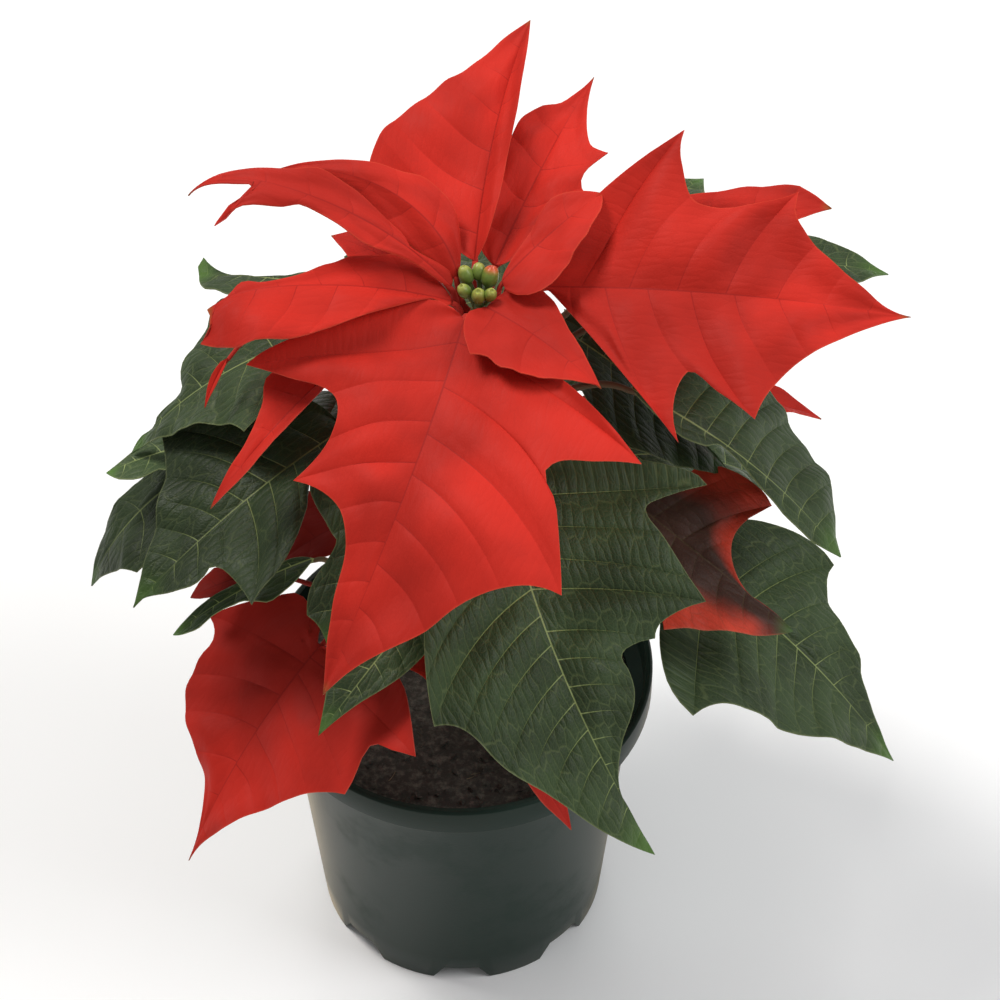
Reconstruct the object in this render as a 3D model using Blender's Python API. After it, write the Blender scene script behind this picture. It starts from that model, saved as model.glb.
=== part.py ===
"""Poinsettia in a plastic nursery pot: pot, soil, branched stem, buds, red bracts and green leaves.

The driving sizes below are in millimetres; meshes are written in metres, +Z up, with the middle of the
pot's underside at the origin and the plant's front towards -Y.
"""
import math
import random
from collections import namedtuple

import bpy
import numpy as np

MM = 0.001
TOUCH_GAP = 0.3            # clearance between pieces that touch

# Pot: a round 13 cm nursery pot
RIM_RADIUS = 65.0
POT_HEIGHT = 115.0
FOOT_RADIUS = 50.0
BODY_TOP_RADIUS = 59.0
RIM_BAND_HEIGHT = 11.0
RIM_LIP_WIDTH = 2.4
RIM_LIP_DRAFT = 0.5
RIM_EDGE = 0.8             # width of the rounded edges of the rim band
BAND_STEP = 1.0            # height of the step between body and band
WALL = 1.6
FLOOR_HEIGHT = 8.0         # underside of the raised floor
FLOOR_THICKNESS = 1.6
PAD_RADIUS = 18.0          # flat middle pad that stands on the table
PAD_DRAFT = 2.0
WELL_RADIUS = PAD_RADIUS - 1 - WALL
FOOT_DRAFT = 1.0
FOOT_NOTCHES = 8
NOTCH_HEIGHT = 7.0
NOTCH_WIDTH_TOP = 12.0
NOTCH_WIDTH_BOTTOM = 21.0
DRAIN_HOLES = 8
DRAIN_HOLE_RADIUS = 3.5
DRAIN_CIRCLE_RADIUS = 34.0
DRAIN_HOLE_SIDES = 10
POT_SEGMENTS = 48

# Soil
SOIL_TOP = 103.0
SOIL_ROUGHNESS = 1.3
SOIL_RINGS = (53, 46, 38, 30, 22)
SOIL_SMOOTH_RADIUS = 12.0  # the soil stays even this close to the stem
SOIL_SEED = 7

# Leaf blades
BLADE_THICKNESS = 0.8
MIDRIB_DEPTH = 1.3         # how far the midrib stands out below the blade at its foot
RIBS = 14                  # cross ribs along a large blade
RIBS_SMALL = 8
SMALL_BLADE = 60.0         # blades shorter than this have the smaller number of ribs
RIB_STEPS = 2              # cells from the midrib to the margin
VEIN_SLANT = 0.55          # how far a side vein runs forward for each unit outwards
VEIN_SLANT_REACH = 0.4     # the slant grows from nothing at the foot to its full value here
SAME_FOOT = 0.03           # lobe veins that start closer together than this share one foot
VEIN_BOW = 0.12
CURL_REACH = 0.4           # share of the length over which the stated curl builds up
HOOK_START = 0.66          # a hooked blade turns down from here to its tip
SPINE_STEPS = 60
STALK_SIDES = 5
STALK_STEPS = 6
STALK_SINK = 0.05          # share of the blade length that the stalk runs on under the blade
STALK_THICKEST = 1.7       # radius at the shoot
STALK_THINNEST = 0.9
STALK_GROWTH = 0.007       # radius gained for each millimetre of blade
STALK_TAPER = 0.62         # radius at the blade over that at the shoot
STALK_PULL = 0.35          # how far each end of the stalk runs straight, as a share of its span
CREASE_ANGLE = 50.0        # edges sharper than this are not smoothed
POT_CREASE_ANGLE = 30.0

RED = "red"
GREEN = "green"
TURNING = "turning"
CORNER = "corner"

COLOURS = {
    "bract_red": (0.62, 0.018, 0.012, 1.0),
    "leaf_green": (0.035, 0.085, 0.035, 1.0),
    "bract_turning": (0.22, 0.03, 0.015, 1.0),
    "pot_plastic": (0.035, 0.06, 0.055, 1.0),
    "soil_peat": (0.012, 0.009, 0.007, 1.0),
    "stem_bark": (0.16, 0.17, 0.06, 1.0),
    "bud_green": (0.22, 0.38, 0.04, 1.0),
}
ROUGHNESS = {
    "bract_red": 0.55, "leaf_green": 0.6, "bract_turning": 0.6, "pot_plastic": 0.5, "soil_peat": 0.95,
    "stem_bark": 0.7, "bud_green": 0.45,
}
BLADE_MATERIALS = {RED: "bract_red", GREEN: "leaf_green", TURNING: "bract_turning"}

# A shoot is a line of points on its axis with the radius at each
SHOOTS = {
    "main": (((0, 0, 92), (0, 0, 112), (2, 1, 150), (5, 1, 205), (8, 0, 250), (8, 0, 280)),
             (5.2, 5.0, 4.6, 4.1, 3.6, 3.2)),
    "left": (((0, 0, 124), (-12, -12, 142), (-24, -20, 168), (-30, -26, 192)), (3.6, 3.2, 2.9, 2.5)),
    "right": (((1, 0, 128), (18, -2, 148), (34, -5, 170), (42, -8, 188)), (3.6, 3.2, 2.9, 2.5)),
    "back": (((1, 0, 130), (-1, 16, 148), (0, 28, 170), (2, 34, 190)), (3.6, 3.2, 2.9, 2.5)),
}
STEM_SIDES = 10

# Buds in the middle of the red head: distance from the axis, turn in degrees, height, bud radius
BUDS = (
    (6.0, 140.0, 288.0, 1.9), (4.9, 99.0, 288.2, 1.8), (4.0, 51.0, 288.0, 2.2),
    (5.2, 198.0, 286.6, 1.7), (3.6, 258.0, 286.4, 1.9), (4.7, 304.0, 287.3, 1.6),
)
BUD_LENGTH = 1.45          # bud height over width
BUD_STALK_RADIUS = 0.9
BUD_SIDES = 6
BUD_STATIONS = (-0.55, 0.0, 0.55, 0.95)
HEAD_RADIUS = 3.4
HEAD_HEIGHT = 3.2

# Margins, as (share along the midrib, share outwards) of the blade's length; CORNER marks a lobe's tip
LOBED = ((0.03, 0.10), (0.12, 0.22), (0.22, 0.27), (0.33, 0.40, CORNER), (0.38, 0.28), (0.48, 0.22),
         (0.60, 0.27, CORNER), (0.66, 0.16), (0.82, 0.07))
ONE_LOBE = ((0.02, 0.12), (0.10, 0.24), (0.24, 0.30), (0.40, 0.33), (0.50, 0.38, CORNER),
            (0.56, 0.26), (0.70, 0.17), (0.86, 0.07))
OVAL = ((0.05, 0.12), (0.18, 0.22), (0.35, 0.25), (0.55, 0.22), (0.75, 0.13), (0.90, 0.05))
NARROW = ((0.06, 0.08), (0.20, 0.14), (0.40, 0.16), (0.62, 0.13), (0.85, 0.05))
SLIVER = ((0.12, 0.07), (0.45, 0.10), (0.80, 0.04))

# A blade runs from its base to its tip. roll turns it about that line, arch bends it down over its whole
# length, hook bends the end down, sweep turns it sideways towards its right. fold and curl are given for
# the left and the right half: the rise at the midrib and the further turn towards the margin, in degrees.
Blade = namedtuple(
    "Blade",
    "name kind shoot joint base tip right left roll arch hook sweep fold curl",
    defaults=(0, 30, 0, 0, (8, 8), (-6, -6)),
)

BLADES = (
    # Red head
    Blade("bract_front", RED, "main", 267, (3, -9.6, 283), (-38, -100, 218),
          right=((-0.03, 0.10), (0.07, 0.27), (0.20, 0.43), (0.27, 0.48, CORNER), (0.28, 0.37),
                 (0.29, 0.25), (0.37, 0.22), (0.54, 0.27, CORNER), (0.58, 0.12), (0.80, 0.06)),
          left=((0.07, 0.12), (0.14, 0.30), (0.27, 0.52, CORNER), (0.29, 0.42), (0.33, 0.31),
                (0.40, 0.36), (0.57, 0.45, CORNER), (0.58, 0.36), (0.65, 0.25), (0.76, 0.17),
                (0.89, 0.06)),
          arch=45, sweep=24, curl=(-12, -12)),
    Blade("bract_right", RED, "main", 270, (25, 4, 283), (135, -10, 284),
          right=((0.04, 0.02), (0.42, 0.43, CORNER), (0.42, 0.24), (0.51, 0.29), (0.61, 0.36, CORNER),
                 (0.71, 0.18)),
          left=((0.06, 0.15), (0.36, 0.44, CORNER), (0.36, 0.35), (0.42, 0.24), (0.67, 0.30, CORNER),
                (0.68, 0.21), (0.90, 0.03)),
          roll=24, arch=25, fold=(12, 8), curl=(-8, -10)),
    Blade("bract_small_front", RED, "main", 273, (9.4, -5.6, 283.7), (43, -35, 279),
          right=((-0.03, 0.16), (0.27, 0.47, CORNER), (0.34, 0.40), (0.47, 0.42), (0.71, 0.26),
                 (0.95, 0.01)),
          left=((0.06, 0.29), (0.18, 0.33), (0.50, 0.21)),
          arch=25, fold=(10, 10), curl=(0, 0)),
    Blade("bract_tall_back", RED, "main", 272, (6, 10, 288), (23, 92, 314),
          right=((0.08, 0.06), (0.28, 0.10), (0.50, 0.10), (0.75, 0.07)),
          left=((0.03, 0.06), (0.09, 0.15), (0.16, 0.29), (0.26, 0.40, CORNER), (0.43, 0.36), (0.61, 0.22),
                (0.83, 0.09)),
          arch=20, sweep=12, fold=(10, 45), curl=(0, 0)),
    Blade("bract_back_right", RED, "main", 267, (12, 10, 286), (43, 84, 298),
          right=((0.05, 0.07), (0.22, 0.12), (0.39, 0.21, CORNER), (0.44, 0.18), (0.58, 0.23, CORNER),
                 (0.62, 0.14), (0.78, 0.06)),
          left=((0.05, 0.08), (0.13, 0.12), (0.32, 0.14), (0.58, 0.16), (0.71, 0.13), (0.81, 0.05)),
          arch=20, fold=(14, 14), curl=(0, 0)),
    Blade("bract_left_long", RED, "main", 270, (-1, 1, 286), (-79, 19, 306),
          right=((0.02, 0.04), (0.19, 0.01), (0.23, 0.04), (0.53, 0.11), (0.64, 0.08), (0.91, 0.01)),
          left=((0.05, 0.02), (0.17, 0.03), (0.35, 0.07), (0.56, 0.04), (0.62, 0.07), (0.75, 0.10),
                (0.83, 0.17, CORNER), (0.78, 0.09), (0.72, 0.03), (0.79, 0.02)),
          roll=-5, arch=70, hook=45, fold=(-10, 0), curl=(-30, -20)),
    Blade("bract_left_inner", RED, "main", 274, (1, 4, 287), (-53, 31, 306),
          right=((0.21, 0.14), (0.38, 0.15), (0.47, 0.12)),
          left=((0.01, 0.03), (0.25, 0.12), (0.41, 0.13)),
          roll=-8, arch=88, sweep=-60, fold=(-45, 0), curl=(0, 0)),
    Blade("bract_left", RED, "main", 266, (-0.5, -2.3, 283), (-73, -8, 285),
          right=((0.16, 0.15), (0.41, 0.15), (0.49, 0.10), (0.61, 0.05), (0.75, 0.03), (0.83, 0.05),
                 (0.90, 0.01)),
          left=((0.03, 0.03), (0.09, 0.01), (0.42, 0.16), (0.75, 0.24), (0.89, 0.23),
                (1.07, 0.12, CORNER), (1.00, 0.08)),
          arch=35, hook=30, fold=(-5, 14), curl=(-40, 0)),
    Blade("bract_left_under", RED, "main", 262, (-6, 8, 278), (-38, 30, 280),
          right=((0.05, 0.12), (0.30, 0.25), (0.55, 0.30), (0.80, 0.15)),
          left=((0.05, 0.12), (0.25, 0.25), (0.50, 0.30, CORNER), (0.75, 0.15)),
          fold=(10, 10), curl=(0, 0)),
    Blade("bract_back_small", RED, "main", 274, (14, 1.3, 287.7), (43.9, 24, 302.6),
          right=((-0.02, 0.15), (0.10, 0.34), (0.30, 0.38), (0.86, 0.15)),
          left=((0.08, 0.04), (0.38, 0.11), (0.71, 0.21)),
          arch=20, fold=(10, 10), curl=(0, 0)),
    Blade("bract_behind_right", RED, "main", 262, (23, 20, 280), (115, 38, 284),
          right=((0.04, 0.08), (0.20, 0.20), (0.40, 0.28), (0.85, 0.06)),
          left=((0.10, 0.08), (0.22, 0.12), (0.39, 0.12), (0.56, 0.08), (0.76, 0.10),
                (0.91, 0.09, CORNER)),
          roll=10, curl=(0, 0)),
    Blade("bract_hanging_left", RED, "main", 258, (-37, -15, 266), (-72, -52, 246),
          right=((0.10, 0.13), (0.26, 0.22), (0.42, 0.12), (0.59, 0.07), (0.80, 0.04)),
          left=((0.10, 0.06), (0.35, 0.07), (0.60, 0.07), (0.80, 0.05)),
          arch=40, sweep=10, fold=(20, 20), curl=(0, 0)),
    Blade("bract_sliver_left", RED, "main", 262, (-68, -11, 268), (-75, -20, 256),
          right=SLIVER,
          left=SLIVER,
          fold=(30, 30), curl=(0, 0)),
    # Red bracts of the side shoots
    Blade("bract_low_left", RED, "left", 176, (-42, -52, 184), (-85, -88, 121),
          right=((-0.02, 0.06), (-0.11, 0.07, CORNER), (-0.06, 0.12), (-0.08, 0.17), (-0.07, 0.24),
                 (0.21, 0.47, CORNER), (0.26, 0.37), (0.34, 0.37), (0.50, 0.34), (0.59, 0.20),
                 (0.75, 0.05)),
          left=((-0.05, 0.14), (-0.11, 0.27), (-0.11, 0.38), (-0.07, 0.46), (0.05, 0.62, CORNER),
                (0.09, 0.53), (0.13, 0.45), (0.27, 0.47), (0.33, 0.47, CORNER), (0.44, 0.33),
                (0.83, 0.06)),
          fold=(6, 6)),
    Blade("bract_turning", TURNING, "right", 182, (56, -12, 205), (105, -44, 181),
          right=((0.45, 0.37), (0.50, 0.48, CORNER), (0.62, 0.35), (0.89, 0.13)),
          left=((0.08, 0.13), (0.11, 0.26), (0.11, 0.32), (0.24, 0.43), (0.53, 0.44, CORNER),
                (0.48, 0.18), (0.65, 0.02)),
          roll=10, arch=20, sweep=-8, fold=(10, 10), curl=(0, 0)),
    Blade("bract_low_front", RED, "main", 132, (20, -68, 148), (36, -82, 129),
          right=NARROW,
          left=NARROW,
          fold=(12, 12)),
    Blade("bract_low_small", RED, "left", 180, (-5, -55, 190), (-8, -68, 184),
          right=((0.10, 0.15), (0.40, 0.40), (0.75, 0.60, CORNER), (0.85, 0.20)),
          left=((0.10, 0.10), (0.50, 0.20), (0.80, 0.10)), arch=20, fold=(12, 12)),
    Blade("bract_dark_left", RED, "left", 186, (-34, -13, 198), (-56, -21, 187),
          right=((0.03, 0.33), (0.17, 0.55), (0.32, 0.71), (0.75, 0.22)),
          left=((0.13, 0.35), (0.58, 0.29), (0.71, 0.14)),
          fold=(6, 6)),
    Blade("bract_dark_left_low", RED, "left", 178, (-64, -31, 193), (-83, -37, 189),
          right=((0.11, 0.15), (0.30, 0.27), (0.53, 0.31)),
          left=((0.21, 0.23), (0.47, 0.22), (0.76, 0.17)),
          arch=25),
    Blade("bract_right_sliver", RED, "main", 222, (66, 28, 218), (119, 40, 190),
          right=NARROW,
          left=NARROW,
          arch=20, fold=(20, 20)),
    # Green leaves the photo shows
    Blade("leaf_back_left", GREEN, "main", 252, (-41, 24, 264), (-81, 42, 252),
          right=((0.15, 0.10), (0.31, 0.04), (0.71, 0.00), (1.04, 0.17, CORNER), (1.06, 0.10)),
          left=((-0.02, 0.22), (0.13, 0.36), (0.36, 0.35), (0.73, 0.20), (0.83, 0.19)),
          arch=20, fold=(10, 10), curl=(0, 0)),
    Blade("leaf_left_upper", GREEN, "main", 246, (-38, 5, 264), (-101, -5, 221),
          right=((0.02, 0.09), (0.30, 0.32), (0.46, 0.38), (0.52, 0.26), (0.65, 0.14), (0.67, 0.06),
                 (0.81, 0.03), (0.84, 0.00), (0.93, 0.02)),
          left=((0.05, 0.12), (0.40, 0.36, CORNER), (0.50, 0.24), (0.75, 0.12)),
          arch=45, fold=(5, 5), curl=(-12, -12)),
    Blade("leaf_left_small", GREEN, "main", 226, (-78, 0, 221), (-109, -10, 217),
          right=((0.41, 0.26), (0.52, 0.20), (0.70, 0.11)),
          left=((0.38, 0.33), (0.51, 0.26), (0.78, 0.26)),
          arch=20, fold=(10, 10), curl=(0, 0)),
    Blade("leaf_far_left", GREEN, "main", 222, (-78, -4, 216), (-117, -18, 173),
          right=((0.10, 0.08), (0.22, 0.15), (0.45, 0.17), (0.62, 0.14), (0.80, 0.08)),
          left=((0.10, 0.12), (0.35, 0.25), (0.60, 0.30, CORNER), (0.73, 0.16)),
          arch=50, fold=(5, 5), curl=(-10, -10)),
    Blade("leaf_left", GREEN, "main", 232, (-34, -12, 239), (-98, -55, 205),
          right=((0.06, 0.25), (0.21, 0.34), (0.33, 0.42), (0.51, 0.47, CORNER), (0.60, 0.32),
                 (0.74, 0.18)),
          left=((0.06, 0.08), (0.15, 0.12), (0.24, 0.13), (0.29, 0.20), (0.46, 0.33),
                (0.65, 0.39, CORNER), (0.65, 0.20), (0.68, 0.14), (0.72, 0.15), (0.79, 0.14),
                (0.94, 0.01)),
          arch=32, sweep=6, fold=(10, 10), curl=(-10, -10)),
    Blade("leaf_left_bright", GREEN, "left", 188, (-44, -34, 204), (-87, -54, 191),
          right=((0.10, 0.06), (0.30, 0.06), (0.74, 0.07)),
          left=((0.36, 0.23), (0.54, 0.11), (0.71, 0.07), (0.85, 0.11)),
          roll=10, arch=25),
    Blade("leaf_dark_left", GREEN, "main", 224, (-20.9, -19.4, 241.4), (-37.9, -73.3, 205.5),
          right=((0.21, 0.26), (0.29, 0.31), (0.48, 0.17), (0.52, 0.13), (0.74, 0.18),
                 (0.88, 0.15, CORNER), (0.91, 0.08)),
          left=((0.14, 0.07), (0.36, 0.10), (0.80, 0.06)),
          roll=-10, sweep=20, curl=(-5, -5)),
    Blade("leaf_front_hanging", GREEN, "main", 206, (1, -46, 217), (-41, -92, 189),
          right=OVAL, left=((0.10, 0.10), (0.35, 0.15), (0.58, 0.13), (0.80, 0.05)),
          roll=-20, arch=25, fold=(5, 5), curl=(-10, -10)),
    Blade("leaf_front", GREEN, "main", 212, (14, -28, 233), (61, -105, 147),
          right=((0.10, 0.16), (0.28, 0.28), (0.47, 0.34, CORNER), (0.50, 0.28), (0.61, 0.23),
                 (0.71, 0.16), (0.85, 0.09)),
          left=((-0.05, 0.05), (-0.05, 0.12), (0.01, 0.34), (0.07, 0.45), (0.12, 0.48, CORNER),
                (0.13, 0.36), (0.15, 0.32), (0.24, 0.34), (0.46, 0.38, CORNER), (0.46, 0.27),
                (0.50, 0.24, CORNER), (0.49, 0.20), (0.50, 0.15), (0.55, 0.15), (0.60, 0.14),
                (0.78, 0.01), (0.93, 0.00)),
          roll=4, arch=40, sweep=-34),
    Blade("leaf_dark_middle", GREEN, "main", 232, (32, 22, 249), (85, 0, 208),
          right=((0.05, 0.13), (0.17, 0.26), (0.34, 0.35), (0.56, 0.35), (0.90, 0.13)),
          left=((0.02, 0.11), (0.20, 0.13), (0.74, 0.00), (0.91, 0.01)),
          arch=25, curl=(0, 0)),
    Blade("leaf_right", GREEN, "main", 240, (53, -12, 256), (121, -20, 189),
          right=((0.21, 0.06), (0.30, 0.05), (0.36, 0.01), (0.73, 0.06)),
          left=((0.08, 0.19), (0.22, 0.32), (0.52, 0.34), (0.80, 0.23), (0.88, 0.15)),
          fold=(6, -25), curl=(-8, -30)),
    Blade("leaf_right_low", GREEN, "right", 176, (76, -8, 173), (143, -40, 111),
          right=((-0.01, 0.26), (0.10, 0.47), (0.24, 0.53, CORNER), (0.31, 0.42), (0.58, 0.29),
                 (0.70, 0.20)),
          left=((0.02, 0.20), (0.13, 0.30), (0.41, 0.35, CORNER), (0.43, 0.26), (0.66, 0.15),
                (0.85, 0.04)),
          arch=28, curl=(-5, -5)),
    Blade("leaf_back_right_upper", GREEN, "main", 256, (44, 15, 278), (78, 70, 268), right=OVAL, left=OVAL,
          curl=(0, 0)),
    Blade("leaf_back_right", GREEN, "main", 248, (56, 20, 263), (136, 45, 250), right=OVAL, left=ONE_LOBE,
          arch=45, curl=(-10, -10)),
    # Behind, hidden in the photo
    Blade("leaf_back_1", GREEN, "main", 222, (2, 38, 232), (-6, 122, 196), right=LOBED, left=ONE_LOBE,
          arch=45, curl=(-8, -8)),
    Blade("leaf_back_2", GREEN, "main", 204, (28, 36, 212), (70, 100, 158), right=ONE_LOBE, left=LOBED,
          arch=45, curl=(-8, -8)),
    Blade("leaf_back_3", GREEN, "main", 214, (-26, 36, 226), (-72, 98, 176), right=LOBED, left=LOBED,
          arch=45, curl=(-8, -8)),
    Blade("leaf_back_4", GREEN, "back", 166, (10, 50, 172), (24, 114, 118), right=ONE_LOBE, left=ONE_LOBE,
          arch=40, curl=(-8, -8)),
    Blade("leaf_back_5", GREEN, "back", 172, (-40, 38, 180), (-98, 70, 132), right=ONE_LOBE, left=LOBED,
          arch=40, curl=(-8, -8)),
    Blade("leaf_back_6", GREEN, "back", 176, (48, 34, 178), (112, 64, 128), right=LOBED, left=ONE_LOBE,
          arch=40, curl=(-8, -8)),
    Blade("bract_back_left", RED, "back", 186, (-14, 44, 206), (-40, 106, 160), right=ONE_LOBE, left=LOBED,
          arch=35),
    Blade("bract_back_turning", TURNING, "back", 182, (22, 46, 200), (44, 102, 148), right=LOBED, left=ONE_LOBE,
          arch=35),
)


def unit(vector):
    """The vector at length one."""
    vector = np.asarray(vector, float)
    return vector / np.linalg.norm(vector)


def turned(vector, axis, degrees):
    """The vector turned about a unit axis."""
    angle = math.radians(degrees)
    across = np.cross(axis, vector)
    lengthwise = axis * np.dot(axis, vector)
    return vector * math.cos(angle) + across * math.sin(angle) + lengthwise * (1 - math.cos(angle))


def clear_scene():
    """Remove whatever the scene holds."""
    for item in list(bpy.data.objects):
        bpy.data.objects.remove(item, do_unlink=True)


def make_material(name, roughness):
    """A plain Principled material in one of the plant's colours."""
    material = bpy.data.materials.new(name)
    material.use_nodes = True
    shader = material.node_tree.nodes["Principled BSDF"]
    shader.inputs["Base Color"].default_value = COLOURS[name]
    shader.inputs["Roughness"].default_value = roughness
    shader.inputs["Metallic"].default_value = 0.0
    material.diffuse_color = COLOURS[name]
    return material


def make_object(name, points, faces, material, smooth=True):
    """A mesh object from points in millimetres."""
    mesh = bpy.data.meshes.new(name)
    mesh.from_pydata([tuple(float(value) * MM for value in point) for point in points], [],
                     [tuple(int(index) for index in face) for face in faces])
    mesh.materials.append(material)
    if smooth:
        mesh.shade_smooth()
        mesh.set_sharp_from_angle(angle=math.radians(CREASE_ANGLE))
    item = bpy.data.objects.new(name, mesh)
    bpy.context.scene.collection.objects.link(item)
    return item


def apply_boolean(target, tool, operation):
    """Join the tool to the target or cut it out, and drop the tool."""
    modifier = target.modifiers.new("join", "BOOLEAN")
    modifier.operation = operation
    modifier.solver = "EXACT"
    modifier.object = tool
    depsgraph = bpy.context.evaluated_depsgraph_get()
    mesh = bpy.data.meshes.new_from_object(target.evaluated_get(depsgraph))
    target.modifiers.clear()
    target.data = mesh
    bpy.data.objects.remove(tool, do_unlink=True)


def tube(path, radii, sides):
    """Points and faces of a closed tube along a path."""
    path = np.asarray(path, float)
    heading = np.gradient(path, axis=0)
    heading /= np.linalg.norm(heading, axis=1, keepdims=True)
    side = np.cross(heading[0], (0.0, 0.0, 1.0) if abs(heading[0][2]) < 0.9 else (1.0, 0.0, 0.0))
    points = []
    for place, along, radius in zip(path, heading, radii):
        side = unit(side - along * np.dot(side, along))
        up = np.cross(along, side)
        for step in range(sides):
            angle = 2 * math.pi * step / sides
            points.append(place + radius * (side * math.cos(angle) + up * math.sin(angle)))
    faces = []
    for ring in range(len(path) - 1):
        for step in range(sides):
            after = (step + 1) % sides
            near, far = ring * sides, (ring + 1) * sides
            faces.append((near + step, near + after, far + after, far + step))
    last = (len(path) - 1) * sides
    faces.append(tuple(reversed(range(sides))))
    faces.append(tuple(range(last, last + sides)))
    return points, faces


class Spine:
    """The bent midrib of a blade: place, heading, right-hand side and upward normal along it."""

    def __init__(self, blade):
        share = (np.arange(SPINE_STEPS) + 0.5) / SPINE_STEPS
        hook = np.clip((share - HOOK_START) / (1 - HOOK_START), 0, 1) ** 1.5
        pitch = -np.radians(blade.arch) * share - np.radians(blade.hook) * hook
        yaw = np.radians(blade.sweep) * (share - 0.5)
        steps = self.headings(pitch, yaw)
        path = np.vstack([np.zeros(3), np.cumsum(steps, axis=0) / SPINE_STEPS])
        base, tip = np.array(blade.base, float), np.array(blade.tip, float)
        reach = np.linalg.norm(path[-1])
        self.length = np.linalg.norm(tip - base) / reach
        chord = unit(tip - base)
        upright = np.array((0.0, 0.0, 1.0))
        rise = turned(unit(upright - chord * np.dot(upright, chord)), chord, blade.roll)
        world = self.levelling(path[-1] / reach).T @ np.stack([chord, rise, np.cross(chord, rise)])
        self.shares = np.linspace(0, 1, SPINE_STEPS + 1)
        pitch = np.interp(self.shares, share, pitch)
        yaw = np.interp(self.shares, share, yaw)
        self.places = base + path * self.length @ world
        self.along = self.headings(pitch, yaw) @ world
        self.normals = np.stack(
            [-np.sin(pitch) * np.cos(yaw), np.cos(pitch), -np.sin(pitch) * np.sin(yaw)], axis=-1) @ world
        self.rights = np.stack([-np.sin(yaw), 0 * yaw, np.cos(yaw)], axis=-1) @ world

    @staticmethod
    def headings(pitch, yaw):
        """Unit steps as shares along the chord, upwards and to the right."""
        return np.stack([np.cos(pitch) * np.cos(yaw), np.sin(pitch), np.cos(pitch) * np.sin(yaw)], axis=-1)

    @staticmethod
    def levelling(end):
        """The least turn that takes the unit vector end to the chord's own axis."""
        axis = np.cross(end, (1.0, 0.0, 0.0))
        size = np.linalg.norm(axis)
        if size < 1e-9:
            return np.eye(3)
        x, y, z = axis / size
        cross = np.array([[0, -z, y], [z, 0, -x], [-y, x, 0]])
        return np.eye(3) + size * cross + (1 - end[0]) * cross @ cross

    def read(self, table, share):
        """A value of the spine at any share of its length."""
        return np.stack([np.interp(share, self.shares, table[:, axis]) for axis in range(3)], axis=-1)


def surface(blade, spine, along, out, lift):
    """Points of the blade: along the midrib and out to the right (+) or left (-), as shares of its length."""
    along, out = np.asarray(along, float), np.asarray(out, float)
    right = out >= 0
    fold = np.radians(np.where(right, blade.fold[1], blade.fold[0]))
    curl = np.radians(np.where(right, blade.curl[1], blade.curl[0]))
    curl = np.where(np.abs(curl) < 1e-3, 1e-3, curl)
    reach = CURL_REACH * spine.length
    turn = curl * np.abs(out) * spine.length / reach
    level = reach * (np.sin(fold + turn) - np.sin(fold)) / curl
    rise = -reach * (np.cos(fold + turn) - np.cos(fold)) / curl
    level = np.where(right, level, -level)
    beyond = (np.clip(along - 1, 0, None) + np.clip(along, None, 0))[..., None] * spine.length
    place = spine.read(spine.places, along) + beyond * spine.read(spine.along, along)
    return (place + spine.read(spine.rights, along) * level[..., None]
            + spine.read(spine.normals, along) * (rise + lift)[..., None])


def margin_curve(points, per_part=12):
    """A smooth margin through the outline points, sharp at the corners."""
    points = ((0.0, 0.0, CORNER),) + tuple(points) + ((1.0, 0.0, CORNER),)
    corner = [len(point) > 2 for point in points]
    places = np.array([point[:2] for point in points], float)
    curve, corner_steps = [], []
    for index in range(len(places) - 1):
        start, end = places[index], places[index + 1]
        size = np.linalg.norm(end - start)
        leave = end - start if corner[index] else unit(end - places[index - 1]) * size
        arrive = end - start if corner[index + 1] else unit(places[index + 2] - start) * size
        if corner[index] and not corner[index + 1]:
            leave = unit(2 * (end - start) - arrive) * size
        if corner[index + 1] and not corner[index]:
            arrive = unit(2 * (end - start) - leave) * size
        if corner[index]:
            corner_steps.append(len(curve))
        for share in np.arange(per_part) / per_part:
            square, cube = share ** 2, share ** 3
            curve.append((2 * cube - 3 * square + 1) * start + (cube - 2 * square + share) * leave
                         + (3 * square - 2 * cube) * end + (cube - square) * arrive)
    curve.append(places[-1])
    return np.array(curve), corner_steps


def vein_feet(curve):
    """For each margin point the place on the midrib where its side vein starts, always moving forward."""
    slant = VEIN_SLANT * np.clip(curve[:, 0] / VEIN_SLANT_REACH + 0.1, 0.05, 1)
    wanted = np.clip(curve[:, 0] - slant * np.abs(curve[:, 1]), 0, 1)
    wanted[0], wanted[-1] = 0, 1
    step = 0.15 / len(wanted)
    rising = [0.0]
    for value in wanted[1:]:
        rising.append(max(rising[-1] + step, value))
    falling = [1.0]
    for value in wanted[::-1][1:]:
        falling.append(min(falling[-1] - step, value))
    feet = (np.array(rising) + np.array(falling[::-1])) / 2
    return (feet - feet[0]) / (feet[-1] - feet[0])


def shared_feet(sides):
    """Feet of all the lobe veins, those of the two halves merged where they nearly meet."""
    marks = []
    for foot in sorted(foot for side in sides for foot in side.corner_feet):
        if marks and foot - marks[-1] < SAME_FOOT:
            marks[-1] = (marks[-1] + foot) / 2
        elif SAME_FOOT < foot < 1 - SAME_FOOT:
            marks.append(foot)
    return marks


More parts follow.
